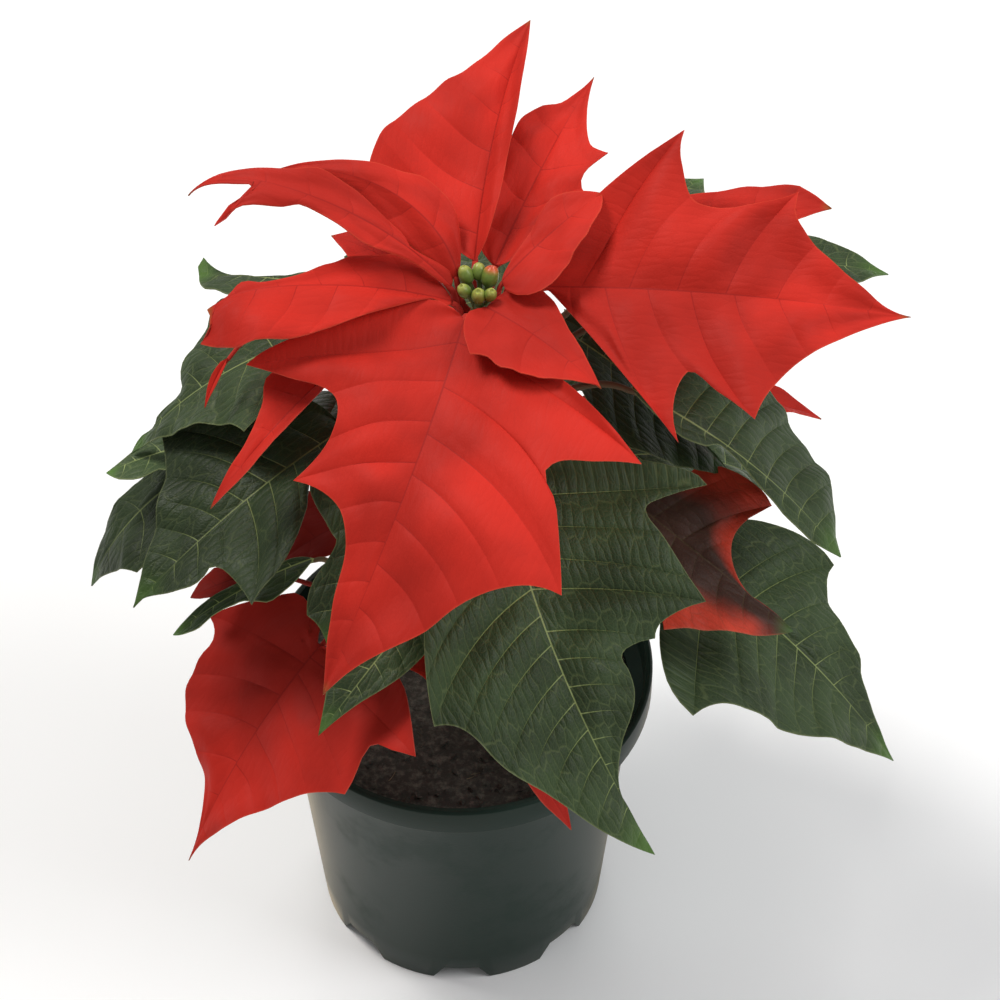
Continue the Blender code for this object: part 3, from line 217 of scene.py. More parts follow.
BLADES = (
    # Red head
    Blade("bract_front", RED, "main", 267, (3, -9.6, 283), (-38, -100, 218),
          right=((-0.03, 0.10), (0.07, 0.27), (0.20, 0.43), (0.27, 0.48, CORNER), (0.28, 0.37),
                 (0.29, 0.25), (0.37, 0.22), (0.54, 0.27, CORNER), (0.58, 0.12), (0.80, 0.06)),
          left=((0.07, 0.12), (0.14, 0.30), (0.27, 0.52, CORNER), (0.29, 0.42), (0.33, 0.31),
                (0.40, 0.36), (0.57, 0.45, CORNER), (0.58, 0.36), (0.65, 0.25), (0.76, 0.17),
                (0.89, 0.06)),
          arch=45, sweep=24, curl=(-12, -12)),
    Blade("bract_right", RED, "main", 270, (25, 4, 283), (135, -10, 284),
          right=((0.04, 0.02), (0.42, 0.43, CORNER), (0.42, 0.24), (0.51, 0.29), (0.61, 0.36, CORNER),
                 (0.71, 0.18)),
          left=((0.06, 0.15), (0.36, 0.44, CORNER), (0.36, 0.35), (0.42, 0.24), (0.67, 0.30, CORNER),
                (0.68, 0.21), (0.90, 0.03)),
          roll=24, arch=25, fold=(12, 8), curl=(-8, -10)),
    Blade("bract_small_front", RED, "main", 273, (9.4, -5.6, 283.7), (43, -35, 279),
          right=((-0.03, 0.16), (0.27, 0.47, CORNER), (0.34, 0.40), (0.47, 0.42), (0.71, 0.26),
                 (0.95, 0.01)),
          left=((0.06, 0.29), (0.18, 0.33), (0.50, 0.21)),
          arch=25, fold=(10, 10), curl=(0, 0)),
    Blade("bract_tall_back", RED, "main", 272, (6, 10, 288), (23, 92, 314),
          right=((0.08, 0.06), (0.28, 0.10), (0.50, 0.10), (0.75, 0.07)),
          left=((0.03, 0.06), (0.09, 0.15), (0.16, 0.29), (0.26, 0.40, CORNER), (0.43, 0.36), (0.61, 0.22),
                (0.83, 0.09)),
          arch=20, sweep=12, fold=(10, 45), curl=(0, 0)),
    Blade("bract_back_right", RED, "main", 267, (12, 10, 286), (43, 84, 298),
          right=((0.05, 0.07), (0.22, 0.12), (0.39, 0.21, CORNER), (0.44, 0.18), (0.58, 0.23, CORNER),
                 (0.62, 0.14), (0.78, 0.06)),
          left=((0.05, 0.08), (0.13, 0.12), (0.32, 0.14), (0.58, 0.16), (0.71, 0.13), (0.81, 0.05)),
          arch=20, fold=(14, 14), curl=(0, 0)),
    Blade("bract_left_long", RED, "main", 270, (-1, 1, 286), (-79, 19, 306),
          right=((0.02, 0.04), (0.19, 0.01), (0.23, 0.04), (0.53, 0.11), (0.64, 0.08), (0.91, 0.01)),
          left=((0.05, 0.02), (0.17, 0.03), (0.35, 0.07), (0.56, 0.04), (0.62, 0.07), (0.75, 0.10),
                (0.83, 0.17, CORNER), (0.78, 0.09), (0.72, 0.03), (0.79, 0.02)),
          roll=-5, arch=70, hook=45, fold=(-10, 0), curl=(-30, -20)),
    Blade("bract_left_inner", RED, "main", 274, (1, 4, 287), (-53, 31, 306),
          right=((0.21, 0.14), (0.38, 0.15), (0.47, 0.12)),
          left=((0.01, 0.03), (0.25, 0.12), (0.41, 0.13)),
          roll=-8, arch=88, sweep=-60, fold=(-45, 0), curl=(0, 0)),
    Blade("bract_left", RED, "main", 266, (-0.5, -2.3, 283), (-73, -8, 285),
          right=((0.16, 0.15), (0.41, 0.15), (0.49, 0.10), (0.61, 0.05), (0.75, 0.03), (0.83, 0.05),
                 (0.90, 0.01)),
          left=((0.03, 0.03), (0.09, 0.01), (0.42, 0.16), (0.75, 0.24), (0.89, 0.23),
                (1.07, 0.12, CORNER), (1.00, 0.08)),
          arch=35, hook=30, fold=(-5, 14), curl=(-40, 0)),
    Blade("bract_left_under", RED, "main", 262, (-6, 8, 278), (-38, 30, 280),
          right=((0.05, 0.12), (0.30, 0.25), (0.55, 0.30), (0.80, 0.15)),
          left=((0.05, 0.12), (0.25, 0.25), (0.50, 0.30, CORNER), (0.75, 0.15)),
          fold=(10, 10), curl=(0, 0)),
    Blade("bract_back_small", RED, "main", 274, (14, 1.3, 287.7), (43.9, 24, 302.6),
          right=((-0.02, 0.15), (0.10, 0.34), (0.30, 0.38), (0.86, 0.15)),
          left=((0.08, 0.04), (0.38, 0.11), (0.71, 0.21)),
          arch=20, fold=(10, 10), curl=(0, 0)),
    Blade("bract_behind_right", RED, "main", 262, (23, 20, 280), (115, 38, 284),
          right=((0.04, 0.08), (0.20, 0.20), (0.40, 0.28), (0.85, 0.06)),
          left=((0.10, 0.08), (0.22, 0.12), (0.39, 0.12), (0.56, 0.08), (0.76, 0.10),
                (0.91, 0.09, CORNER)),
          roll=10, curl=(0, 0)),
    Blade("bract_hanging_left", RED, "main", 258, (-37, -15, 266), (-72, -52, 246),
          right=((0.10, 0.13), (0.26, 0.22), (0.42, 0.12), (0.59, 0.07), (0.80, 0.04)),
          left=((0.10, 0.06), (0.35, 0.07), (0.60, 0.07), (0.80, 0.05)),
          arch=40, sweep=10, fold=(20, 20), curl=(0, 0)),
    Blade("bract_sliver_left", RED, "main", 262, (-68, -11, 268), (-75, -20, 256),
          right=SLIVER,
          left=SLIVER,
          fold=(30, 30), curl=(0, 0)),
    # Red bracts of the side shoots
    Blade("bract_low_left", RED, "left", 176, (-42, -52, 184), (-85, -88, 121),
          right=((-0.02, 0.06), (-0.11, 0.07, CORNER), (-0.06, 0.12), (-0.08, 0.17), (-0.07, 0.24),
                 (0.21, 0.47, CORNER), (0.26, 0.37), (0.34, 0.37), (0.50, 0.34), (0.59, 0.20),
                 (0.75, 0.05)),
          left=((-0.05, 0.14), (-0.11, 0.27), (-0.11, 0.38), (-0.07, 0.46), (0.05, 0.62, CORNER),
                (0.09, 0.53), (0.13, 0.45), (0.27, 0.47), (0.33, 0.47, CORNER), (0.44, 0.33),
                (0.83, 0.06)),
          fold=(6, 6)),
    Blade("bract_turning", TURNING, "right", 182, (56, -12, 205), (105, -44, 181),
          right=((0.45, 0.37), (0.50, 0.48, CORNER), (0.62, 0.35), (0.89, 0.13)),
          left=((0.08, 0.13), (0.11, 0.26), (0.11, 0.32), (0.24, 0.43), (0.53, 0.44, CORNER),
                (0.48, 0.18), (0.65, 0.02)),
          roll=10, arch=20, sweep=-8, fold=(10, 10), curl=(0, 0)),
    Blade("bract_low_front", RED, "main", 132, (20, -68, 148), (36, -82, 129),
          right=NARROW,
          left=NARROW,
          fold=(12, 12)),
    Blade("bract_low_small", RED, "left", 180, (-5, -55, 190), (-8, -68, 184),
          right=((0.10, 0.15), (0.40, 0.40), (0.75, 0.60, CORNER), (0.85, 0.20)),
          left=((0.10, 0.10), (0.50, 0.20), (0.80, 0.10)), arch=20, fold=(12, 12)),
    Blade("bract_dark_left", RED, "left", 186, (-34, -13, 198), (-56, -21, 187),
          right=((0.03, 0.33), (0.17, 0.55), (0.32, 0.71), (0.75, 0.22)),
          left=((0.13, 0.35), (0.58, 0.29), (0.71, 0.14)),
          fold=(6, 6)),
    Blade("bract_dark_left_low", RED, "left", 178, (-64, -31, 193), (-83, -37, 189),
          right=((0.11, 0.15), (0.30, 0.27), (0.53, 0.31)),
          left=((0.21, 0.23), (0.47, 0.22), (0.76, 0.17)),
          arch=25),
    Blade("bract_right_sliver", RED, "main", 222, (66, 28, 218), (119, 40, 190),
          right=NARROW,
          left=NARROW,
          arch=20, fold=(20, 20)),
    # Green leaves the photo shows
    Blade("leaf_back_left", GREEN, "main", 252, (-41, 24, 264), (-81, 42, 252),
          right=((0.15, 0.10), (0.31, 0.04), (0.71, 0.00), (1.04, 0.17, CORNER), (1.06, 0.10)),
          left=((-0.02, 0.22), (0.13, 0.36), (0.36, 0.35), (0.73, 0.20), (0.83, 0.19)),
          arch=20, fold=(10, 10), curl=(0, 0)),
    Blade("leaf_left_upper", GREEN, "main", 246, (-38, 5, 264), (-101, -5, 221),
          right=((0.02, 0.09), (0.30, 0.32), (0.46, 0.38), (0.52, 0.26), (0.65, 0.14), (0.67, 0.06),
                 (0.81, 0.03), (0.84, 0.00), (0.93, 0.02)),
          left=((0.05, 0.12), (0.40, 0.36, CORNER), (0.50, 0.24), (0.75, 0.12)),
          arch=45, fold=(5, 5), curl=(-12, -12)),
    Blade("leaf_left_small", GREEN, "main", 226, (-78, 0, 221), (-109, -10, 217),
          right=((0.41, 0.26), (0.52, 0.20), (0.70, 0.11)),
          left=((0.38, 0.33), (0.51, 0.26), (0.78, 0.26)),
          arch=20, fold=(10, 10), curl=(0, 0)),
    Blade("leaf_far_left", GREEN, "main", 222, (-78, -4, 216), (-117, -18, 173),
          right=((0.10, 0.08), (0.22, 0.15), (0.45, 0.17), (0.62, 0.14), (0.80, 0.08)),
          left=((0.10, 0.12), (0.35, 0.25), (0.60, 0.30, CORNER), (0.73, 0.16)),
          arch=50, fold=(5, 5), curl=(-10, -10)),
    Blade("leaf_left", GREEN, "main", 232, (-34, -12, 239), (-98, -55, 205),
          right=((0.06, 0.25), (0.21, 0.34), (0.33, 0.42), (0.51, 0.47, CORNER), (0.60, 0.32),
                 (0.74, 0.18)),
          left=((0.06, 0.08), (0.15, 0.12), (0.24, 0.13), (0.29, 0.20), (0.46, 0.33),
                (0.65, 0.39, CORNER), (0.65, 0.20), (0.68, 0.14), (0.72, 0.15), (0.79, 0.14),
                (0.94, 0.01)),
          arch=32, sweep=6, fold=(10, 10), curl=(-10, -10)),
    Blade("leaf_left_bright", GREEN, "left", 188, (-44, -34, 204), (-87, -54, 191),
          right=((0.10, 0.06), (0.30, 0.06), (0.74, 0.07)),
          left=((0.36, 0.23), (0.54, 0.11), (0.71, 0.07), (0.85, 0.11)),
          roll=10, arch=25),
    Blade("leaf_dark_left", GREEN, "main", 224, (-20.9, -19.4, 241.4), (-37.9, -73.3, 205.5),
          right=((0.21, 0.26), (0.29, 0.31), (0.48, 0.17), (0.52, 0.13), (0.74, 0.18),
                 (0.88, 0.15, CORNER), (0.91, 0.08)),
          left=((0.14, 0.07), (0.36, 0.10), (0.80, 0.06)),
          roll=-10, sweep=20, curl=(-5, -5)),
    Blade("leaf_front_hanging", GREEN, "main", 206, (1, -46, 217), (-41, -92, 189),
          right=OVAL, left=((0.10, 0.10), (0.35, 0.15), (0.58, 0.13), (0.80, 0.05)),
          roll=-20, arch=25, fold=(5, 5), curl=(-10, -10)),
    Blade("leaf_front", GREEN, "main", 212, (14, -28, 233), (61, -105, 147),
          right=((0.10, 0.16), (0.28, 0.28), (0.47, 0.34, CORNER), (0.50, 0.28), (0.61, 0.23),
                 (0.71, 0.16), (0.85, 0.09)),
          left=((-0.05, 0.05), (-0.05, 0.12), (0.01, 0.34), (0.07, 0.45), (0.12, 0.48, CORNER),
                (0.13, 0.36), (0.15, 0.32), (0.24, 0.34), (0.46, 0.38, CORNER), (0.46, 0.27),
                (0.50, 0.24, CORNER), (0.49, 0.20), (0.50, 0.15), (0.55, 0.15), (0.60, 0.14),
                (0.78, 0.01), (0.93, 0.00)),
          roll=4, arch=40, sweep=-34),
    Blade("leaf_dark_middle", GREEN, "main", 232, (32, 22, 249), (85, 0, 208),
          right=((0.05, 0.13), (0.17, 0.26), (0.34, 0.35), (0.56, 0.35), (0.90, 0.13)),
          left=((0.02, 0.11), (0.20, 0.13), (0.74, 0.00), (0.91, 0.01)),
          arch=25, curl=(0, 0)),
    Blade("leaf_right", GREEN, "main", 240, (53, -12, 256), (121, -20, 189),
          right=((0.21, 0.06), (0.30, 0.05), (0.36, 0.01), (0.73, 0.06)),
          left=((0.08, 0.19), (0.22, 0.32), (0.52, 0.34), (0.80, 0.23), (0.88, 0.15)),
          fold=(6, -25), curl=(-8, -30)),
    Blade("leaf_right_low", GREEN, "right", 176, (76, -8, 173), (143, -40, 111),
          right=((-0.01, 0.26), (0.10, 0.47), (0.24, 0.53, CORNER), (0.31, 0.42), (0.58, 0.29),
                 (0.70, 0.20)),
          left=((0.02, 0.20), (0.13, 0.30), (0.41, 0.35, CORNER), (0.43, 0.26), (0.66, 0.15),
                (0.85, 0.04)),
          arch=28, curl=(-5, -5)),
    Blade("leaf_back_right_upper", GREEN, "main", 256, (44, 15, 278), (78, 70, 268), right=OVAL, left=OVAL,
          curl=(0, 0)),
    Blade("leaf_back_right", GREEN, "main", 248, (56, 20, 263), (136, 45, 250), right=OVAL, left=ONE_LOBE,
          arch=45, curl=(-10, -10)),
    # Behind, hidden in the photo
    Blade("leaf_back_1", GREEN, "main", 222, (2, 38, 232), (-6, 122, 196), right=LOBED, left=ONE_LOBE,
          arch=45, curl=(-8, -8)),
    Blade("leaf_back_2", GREEN, "main", 204, (28, 36, 212), (70, 100, 158), right=ONE_LOBE, left=LOBED,
          arch=45, curl=(-8, -8)),
    Blade("leaf_back_3", GREEN, "main", 214, (-26, 36, 226), (-72, 98, 176), right=LOBED, left=LOBED,
          arch=45, curl=(-8, -8)),
    Blade("leaf_back_4", GREEN, "back", 166, (10, 50, 172), (24, 114, 118), right=ONE_LOBE, left=ONE_LOBE,
          arch=40, curl=(-8, -8)),
    Blade("leaf_back_5", GREEN, "back", 172, (-40, 38, 180), (-98, 70, 132), right=ONE_LOBE, left=LOBED,
          arch=40, curl=(-8, -8)),
    Blade("leaf_back_6", GREEN, "back", 176, (48, 34, 178), (112, 64, 128), right=LOBED, left=ONE_LOBE,
          arch=40, curl=(-8, -8)),
    Blade("bract_back_left", RED, "back", 186, (-14, 44, 206), (-40, 106, 160), right=ONE_LOBE, left=LOBED,
          arch=35),
    Blade("bract_back_turning", TURNING, "back", 182, (22, 46, 200), (44, 102, 148),
          right=LOBED, left=ONE_LOBE, arch=35),
)


def unit(vector):
    """The vector at length one."""
    vector = np.asarray(vector, float)
    return vector / np.linalg.norm(vector)


def turned(vector, axis, degrees):
    """The vector turned about a unit axis."""
    angle = math.radians(degrees)
    across = np.cross(axis, vector)
    lengthwise = axis * np.dot(axis, vector)
    return vector * math.cos(angle) + across * math.sin(angle) + lengthwise * (1 - math.cos(angle))


def smooth_step(low, high, value):
    """0 below low, 1 above high and a soft rise between them."""
    share = np.clip((np.asarray(value, float) - low) / (high - low), 0, 1)
    return share * share * (3 - 2 * share)


class Spine:
    """The bent midrib of a blade: place, heading, right-hand side and upward normal along it."""

    def __init__(self, blade):
        share = (np.arange(SPINE_STEPS) + 0.5) / SPINE_STEPS
        hook = np.clip((share - HOOK_START) / (1 - HOOK_START), 0, 1) ** 1.5
        pitch = -np.radians(blade.arch) * share - np.radians(blade.hook) * hook
        yaw = np.radians(blade.sweep) * (share - 0.5)
        steps = self.headings(pitch, yaw)
        path = np.vstack([np.zeros(3), np.cumsum(steps, axis=0) / SPINE_STEPS])
        base, tip = np.array(blade.base, float), np.array(blade.tip, float)
        reach = np.linalg.norm(path[-1])
        self.length = np.linalg.norm(tip - base) / reach
        chord = unit(tip - base)
        upright = np.array((0.0, 0.0, 1.0))
        rise = turned(unit(upright - chord * np.dot(upright, chord)), chord, blade.roll)
        world = self.levelling(path[-1] / reach).T @ np.stack([chord, rise, np.cross(chord, rise)])
        self.shares = np.linspace(0, 1, SPINE_STEPS + 1)
        pitch = np.interp(self.shares, share, pitch)
        yaw = np.interp(self.shares, share, yaw)
        self.places = base + path * self.length @ world
        self.along = self.headings(pitch, yaw) @ world
        self.normals = np.stack(
            [-np.sin(pitch) * np.cos(yaw), np.cos(pitch), -np.sin(pitch) * np.sin(yaw)], axis=-1) @ world
        self.rights = np.stack([-np.sin(yaw), 0 * yaw, np.cos(yaw)], axis=-1) @ world

    @staticmethod
    def headings(pitch, yaw):
        """Unit steps as shares along the chord, upwards and to the right."""
        return np.stack([np.cos(pitch) * np.cos(yaw), np.sin(pitch), np.cos(pitch) * np.sin(yaw)], axis=-1)

    @staticmethod
    def levelling(end):
        """The least turn that takes the unit vector end to the chord's own axis."""
        axis = np.cross(end, (1.0, 0.0, 0.0))
        if np.linalg.norm(axis) < 1e-9:
            return np.eye(3)
        size = np.linalg.norm(axis)
        x, y, z = axis / size
        cross = np.array([[0, -z, y], [z, 0, -x], [-y, x, 0]])
        return np.eye(3) + size * cross + (1 - end[0]) * cross @ cross

    def read(self, table, share):
        """A value of the spine at any share of its length."""
        return np.stack([np.interp(share, self.shares, table[:, axis]) for axis in range(3)], axis=-1)


def surface(blade, spine, along, out, lift):
    """Points of the blade: along the midrib and out to the right (+) or left (-), as shares of length."""
    along, out = np.asarray(along, float), np.asarray(out, float)
    right = out >= 0
    fold = np.radians(np.where(right, blade.fold[1], blade.fold[0]))
    curl = np.radians(np.where(right, blade.curl[1], blade.curl[0]))
    curl = np.where(np.abs(curl) < 1e-3, 1e-3, curl)
    reach = CURL_REACH * spine.length
    turn = curl * np.abs(out) * spine.length / reach
    level = reach * (np.sin(fold + turn) - np.sin(fold)) / curl
    rise = -reach * (np.cos(fold + turn) - np.cos(fold)) / curl
    level = np.where(right, level, -level)
    beyond = (np.clip(along - 1, 0, None) + np.clip(along, None, 0))[..., None] * spine.length
    place = spine.read(spine.places, along) + beyond * spine.read(spine.along, along)
    return (place + spine.read(spine.rights, along) * level[..., None]
            + spine.read(spine.normals, along) * (rise + lift)[..., None])


def margin_curve(points, per_part=24):
    """A smooth margin through the outline points, sharp at the corners."""
    points = ((0.0, 0.0, CORNER),) + tuple(points) + ((1.0, 0.0, CORNER),)
    corner = [len(point) > 2 for point in points]
    places = np.array([point[:2] for point in points], float)
    curve, corner_steps = [], []
    for index in range(len(places) - 1):
        start, end = places[index], places[index + 1]
        size = np.linalg.norm(end - start)
        leave = end - start if corner[index] else unit(end - places[index - 1]) * size
        arrive = end - start if corner[index + 1] else unit(places[index + 2] - start) * size
        if corner[index] and not corner[index + 1]:
            leave = unit(2 * (end - start) - arrive) * size
        if corner[index + 1] and not corner[index]:
            arrive = unit(2 * (end - start) - leave) * size
        if corner[index]:
            corner_steps.append(len(curve))
        for share in np.arange(per_part) / per_part:
            square, cube = share ** 2, share ** 3
            curve.append((2 * cube - 3 * square + 1) * start + (cube - 2 * square + share) * leave
                         + (3 * square - 2 * cube) * end + (cube - square) * arrive)
    curve.append(places[-1])
    return np.array(curve), corner_steps


def vein_feet(curve):
    """For each margin point the place on the midrib where its side vein starts, always moving forward."""
    slant = VEIN_SLANT * np.clip(curve[:, 0] / VEIN_SLANT_REACH + 0.1, 0.05, 1)
    wanted = np.clip(curve[:, 0] - slant * np.abs(curve[:, 1]), 0, 1)
    wanted[0], wanted[-1] = 0, 1
    step = 0.15 / len(wanted)
    rising = [0.0]
    for value in wanted[1:]:
        rising.append(max(rising[-1] + step, value))
    falling = [1.0]
    for value in wanted[::-1][1:]:
        falling.append(min(falling[-1] - step, value))
    feet = (np.array(rising) + np.array(falling[::-1])) / 2
    return (feet - feet[0]) / (feet[-1] - feet[0])


def shared_feet(sides):
    """Feet of all the lobe veins, those of the two halves merged where they nearly meet."""
    marks = []
    for foot in sorted(foot for side in sides for foot in side.corner_feet):
        if marks and foot - marks[-1] < SAME_FOOT:
            marks[-1] = (marks[-1] + foot) / 2
        elif SAME_FOOT < foot < 1 - SAME_FOOT:
            marks.append(foot)
    return marks


class Half:
    """One half of a blade's outline, with the midrib foot that belongs to every margin point."""

    def __init__(self, sign, outline):
        self.sign = sign
        self.curve, corner_steps = margin_curve(outline)
        self.feet = vein_feet(self.curve)
        self.corner_feet = [float(self.feet[step]) for step in corner_steps[1:]]
        self.veins = []
        self.main = []

    def snap(self, marks):
        """Move each lobe vein's foot to the nearest shared one."""
        given, wanted = [0.0], [0.0]
        for foot in self.corner_feet:
            nearest = min(marks, key=lambda mark: abs(mark - foot)) if marks else foot
            if abs(nearest - foot) < SAME_FOOT:
                given.append(foot)
                wanted.append(nearest)
        self.feet = np.interp(self.feet, given + [1.0], wanted + [1.0])
        self.main = wanted[1:]

    def margin_length(self, feet):
        """Length along the margin at each foot, as a share of the whole."""
        steps = np.linalg.norm(np.diff(self.curve, axis=0), axis=1)
        lengths = np.concatenate([[0.0], np.cumsum(steps)])
        return np.interp(feet, self.feet, lengths / lengths[-1])

    def margin_at(self, feet):
        """Margin points that belong to these feet."""
        return np.stack([np.interp(feet, self.feet, self.curve[:, 0]),
                         np.interp(feet, self.feet, np.abs(self.curve[:, 1]))], axis=-1)

    def place_veins(self, length, offset, spacing):
        """Side veins: those of the lobes, and evenly spaced ones between them."""
        marks = [0.0] + [foot for foot in self.main if 0.04 < foot < 0.96] + [1.0]
        self.veins = [(foot, 1.0) for foot in marks[1:-1]]
        for start, end in zip(marks[:-1], marks[1:]):
            parts = max(1, round((end - start) * length / spacing))
            for part in range(1, parts):
                foot = start + (end - start) * (part + (offset if start == 0 or end == 1 else 0)) / parts
                if start + 0.02 < foot < min(end - 0.02, 0.95):
                    self.veins.append((foot, BETWEEN_VEIN_STRENGTH))
        self.veins.sort()

    def strength(self, feet):
        """1 on a side vein's own row, 0 elsewhere."""
        mask = np.zeros(len(feet))
        for foot, weight in self.veins:
            mask[np.abs(feet - foot) < 1e-9] = weight
        return mask

    def pillow(self, feet):
        """Rise of the blade between two side veins, 0 at each vein and 1 midway."""
        marks = np.array([0.0] + [foot for foot, _ in self.veins] + [1.0])
        slot = np.clip(np.searchsorted(marks, feet, side="right") - 1, 0, len(marks) - 2)
        gap = marks[slot + 1] - marks[slot]
        place = np.clip((feet - marks[slot]) / gap, 0, 1)
        return np.sin(np.pi * place) ** 0.8, gap

    def valley(self, feet, length):
        """Depth of the broad fold along each lobe's own vein."""
        depth = np.zeros(np.shape(feet))
        for foot in self.main:
            depth = np.maximum(depth, np.exp(-(((feet - foot) * length / VALLEY_WIDTH) ** 2)))
        return depth

    def grid(self, feet, shares):
        """Points at each row's foot and share outwards, on bowed cross lines."""
        start = np.stack([feet, 0 * feet], axis=-1)
        end = self.margin_at(feet)
        run = end - start
        strength = VEIN_BOW * np.clip(feet / 0.2, 0, 1)[..., None]
        bow = start + run * 0.5 + np.stack([-run[..., 1], run[..., 0]], axis=-1) * strength
        share = shares[..., None]
        points = (1 - share) ** 2 * start + 2 * share * (1 - share) * bow + share ** 2 * end
        points[..., 1] *= self.sign
        return points, np.linalg.norm(run, axis=-1)


def row_feet(halves, length):
    """Feet of all rows: each side vein with a row close on both sides, and evenly spread rows between."""
    fine = np.linspace(0, 1, 2001)
    progress = (halves[0].margin_length(fine) + halves[1].margin_length(fine) + fine) / 3
    total = max(np.linalg.norm(np.diff(half.curve, axis=0), axis=1).sum() for half in halves) * length
    beside = SIDE_VEIN_HALF_WIDTH / length
    exact = sorted({foot for half in halves for foot, _ in half.veins})
    kept = []
    for foot in exact:
        if not kept or foot - kept[-1] > 1e-9:
            kept.append(foot)
    rows = [(0.0, 0)]
    for foot in kept:
        rows += [(foot, -1), (foot, 0), (foot, 1)]
    rows.append((1.0, 0))
    placed = [foot + side * beside for foot, side in rows]
    filled = []
    for index, (row, place) in enumerate(zip(rows, placed)):
        if index and place - placed[index - 1] < 0.5 * beside:
            if row[1] == 0:
                while filled and filled[-1][0] + filled[-1][1] * beside > place - 0.5 * beside:
                    filled.pop()
            else:
                continue
        if filled:
            before = filled[-1][0] + filled[-1][1] * beside
            span = np.interp(place, fine, progress) - np.interp(before, fine, progress)
            parts = max(1, round(span * total / ROW_SPACING))
            at = np.interp(before, fine, progress)
            for part in range(1, parts):
                filled.append((float(np.interp(at + span * part / parts, progress, fine)), 0))
        filled.append(row)
    return filled, beside


class BladeShape:
    """Everything that the mesh of one blade is made from."""

    def __init__(self, blade, look):
        self.blade = blade
        self.spine = Spine(blade)
        self.length = self.spine.length
        self.spacing = SIDE_VEIN_SPACING[blade.kind]
        self.halves = [Half(1, blade.right), Half(-1, blade.left)]
        marks = shared_feet(self.halves)
        draw = random.Random(blade.name)
        for half in self.halves:
            half.snap(marks)
            half.place_veins(self.length, draw.uniform(-VEIN_OFFSET, VEIN_OFFSET), self.spacing)
        self.wave = [(draw.uniform(*LONG_WAVES), draw.uniform(0, 1), draw.uniform(*SHORT_WAVES),
                      draw.uniform(0, 1)) for _ in self.halves]
        self.swell = [(draw.uniform(*BROAD_FOLDS), draw.uniform(0, 1), draw.uniform(*BROAD_FOLD_LEAN))
                      for _ in self.halves]
        self.look = look

    def columns(self, lengths):
        """Shares outwards of each row's columns: midrib edge, even steps and the margin band."""
        span = np.maximum(lengths * self.length, 1e-6)
        first = np.minimum(MIDRIB_HALF_WIDTH / span, 0.2)
        last = 1 - np.minimum(MARGIN_BAND / span, 0.15)
        steps = np.linspace(0, 1, COLUMNS - 2)
        inner = first[:, None] + (last - first)[:, None] * steps
        return np.concatenate([0 * first[:, None], inner, 1 + 0 * last[:, None]], axis=1)

    def half_points(self, half, rows, beside):
        """Surface coordinates and masks of one half's grid of rows and columns."""
        feet = np.array([row[0] for row in rows])
        sides = np.array([row[1] for row in rows], float)
        _, lengths = half.grid(feet, np.zeros(len(feet)))
        shares = self.columns(lengths)
        ahead = half.margin_at(np.clip(feet + beside, 0, 1))
        behind = half.margin_at(np.clip(feet - beside, 0, 1))
        stretch = np.maximum(1.0, np.linalg.norm(ahead - behind, axis=-1) / (2 * beside))
        narrowing = (1 - 0.55 * shares) / (1 + (stretch[:, None] - 1) * shares)
        spread = np.clip(feet[:, None] + sides[:, None] * beside * narrowing, 0, 1)
        points, _ = half.grid(spread, shares)
        return points, shares, spread, lengths, half.strength(np.where(sides == 0, feet, -1))

    def relief(self, half, shares, spread, lengths, vein, wave, swell):
        """Height of the blade's middle surface, and depth of its veins."""
        look = self.look
        pillow, gap = half.pillow(spread)
        window = smooth_step(0.0, 0.22, shares) * (1 - 0.6 * smooth_step(0.75, 1.0, shares))
        size = np.minimum(1.0, gap * self.length / self.spacing)
        taper = np.minimum(1.0, lengths * self.length / TAPER_WIDTH)[:, None]
        height = look.quilt * pillow * window * size * taper
        height = height - look.fold * half.valley(spread, self.length) * window * taper
        long_count, long_turn, short_count, short_turn = wave
        swing = (np.sin(2 * np.pi * (long_count * spread + long_turn))
                 + SHORT_WAVE_SHARE * np.sin(2 * np.pi * (short_count * spread + short_turn)))
        height = height + look.wave * swing * shares ** 1.7 * taper
        count, turn, lean = swell
        rolling = np.sin(2 * np.pi * (count * spread + lean * shares + turn))
        height = height + look.swell * rolling * np.sin(np.pi * np.minimum(shares, 0.85)) * taper
        depth = vein[:, None] * (1 - 0.8 * shares)
        midrib = np.clip(1.15 - spread, 0, 1)
        depth[:, 0] = midrib[:, 0]
        return height, depth


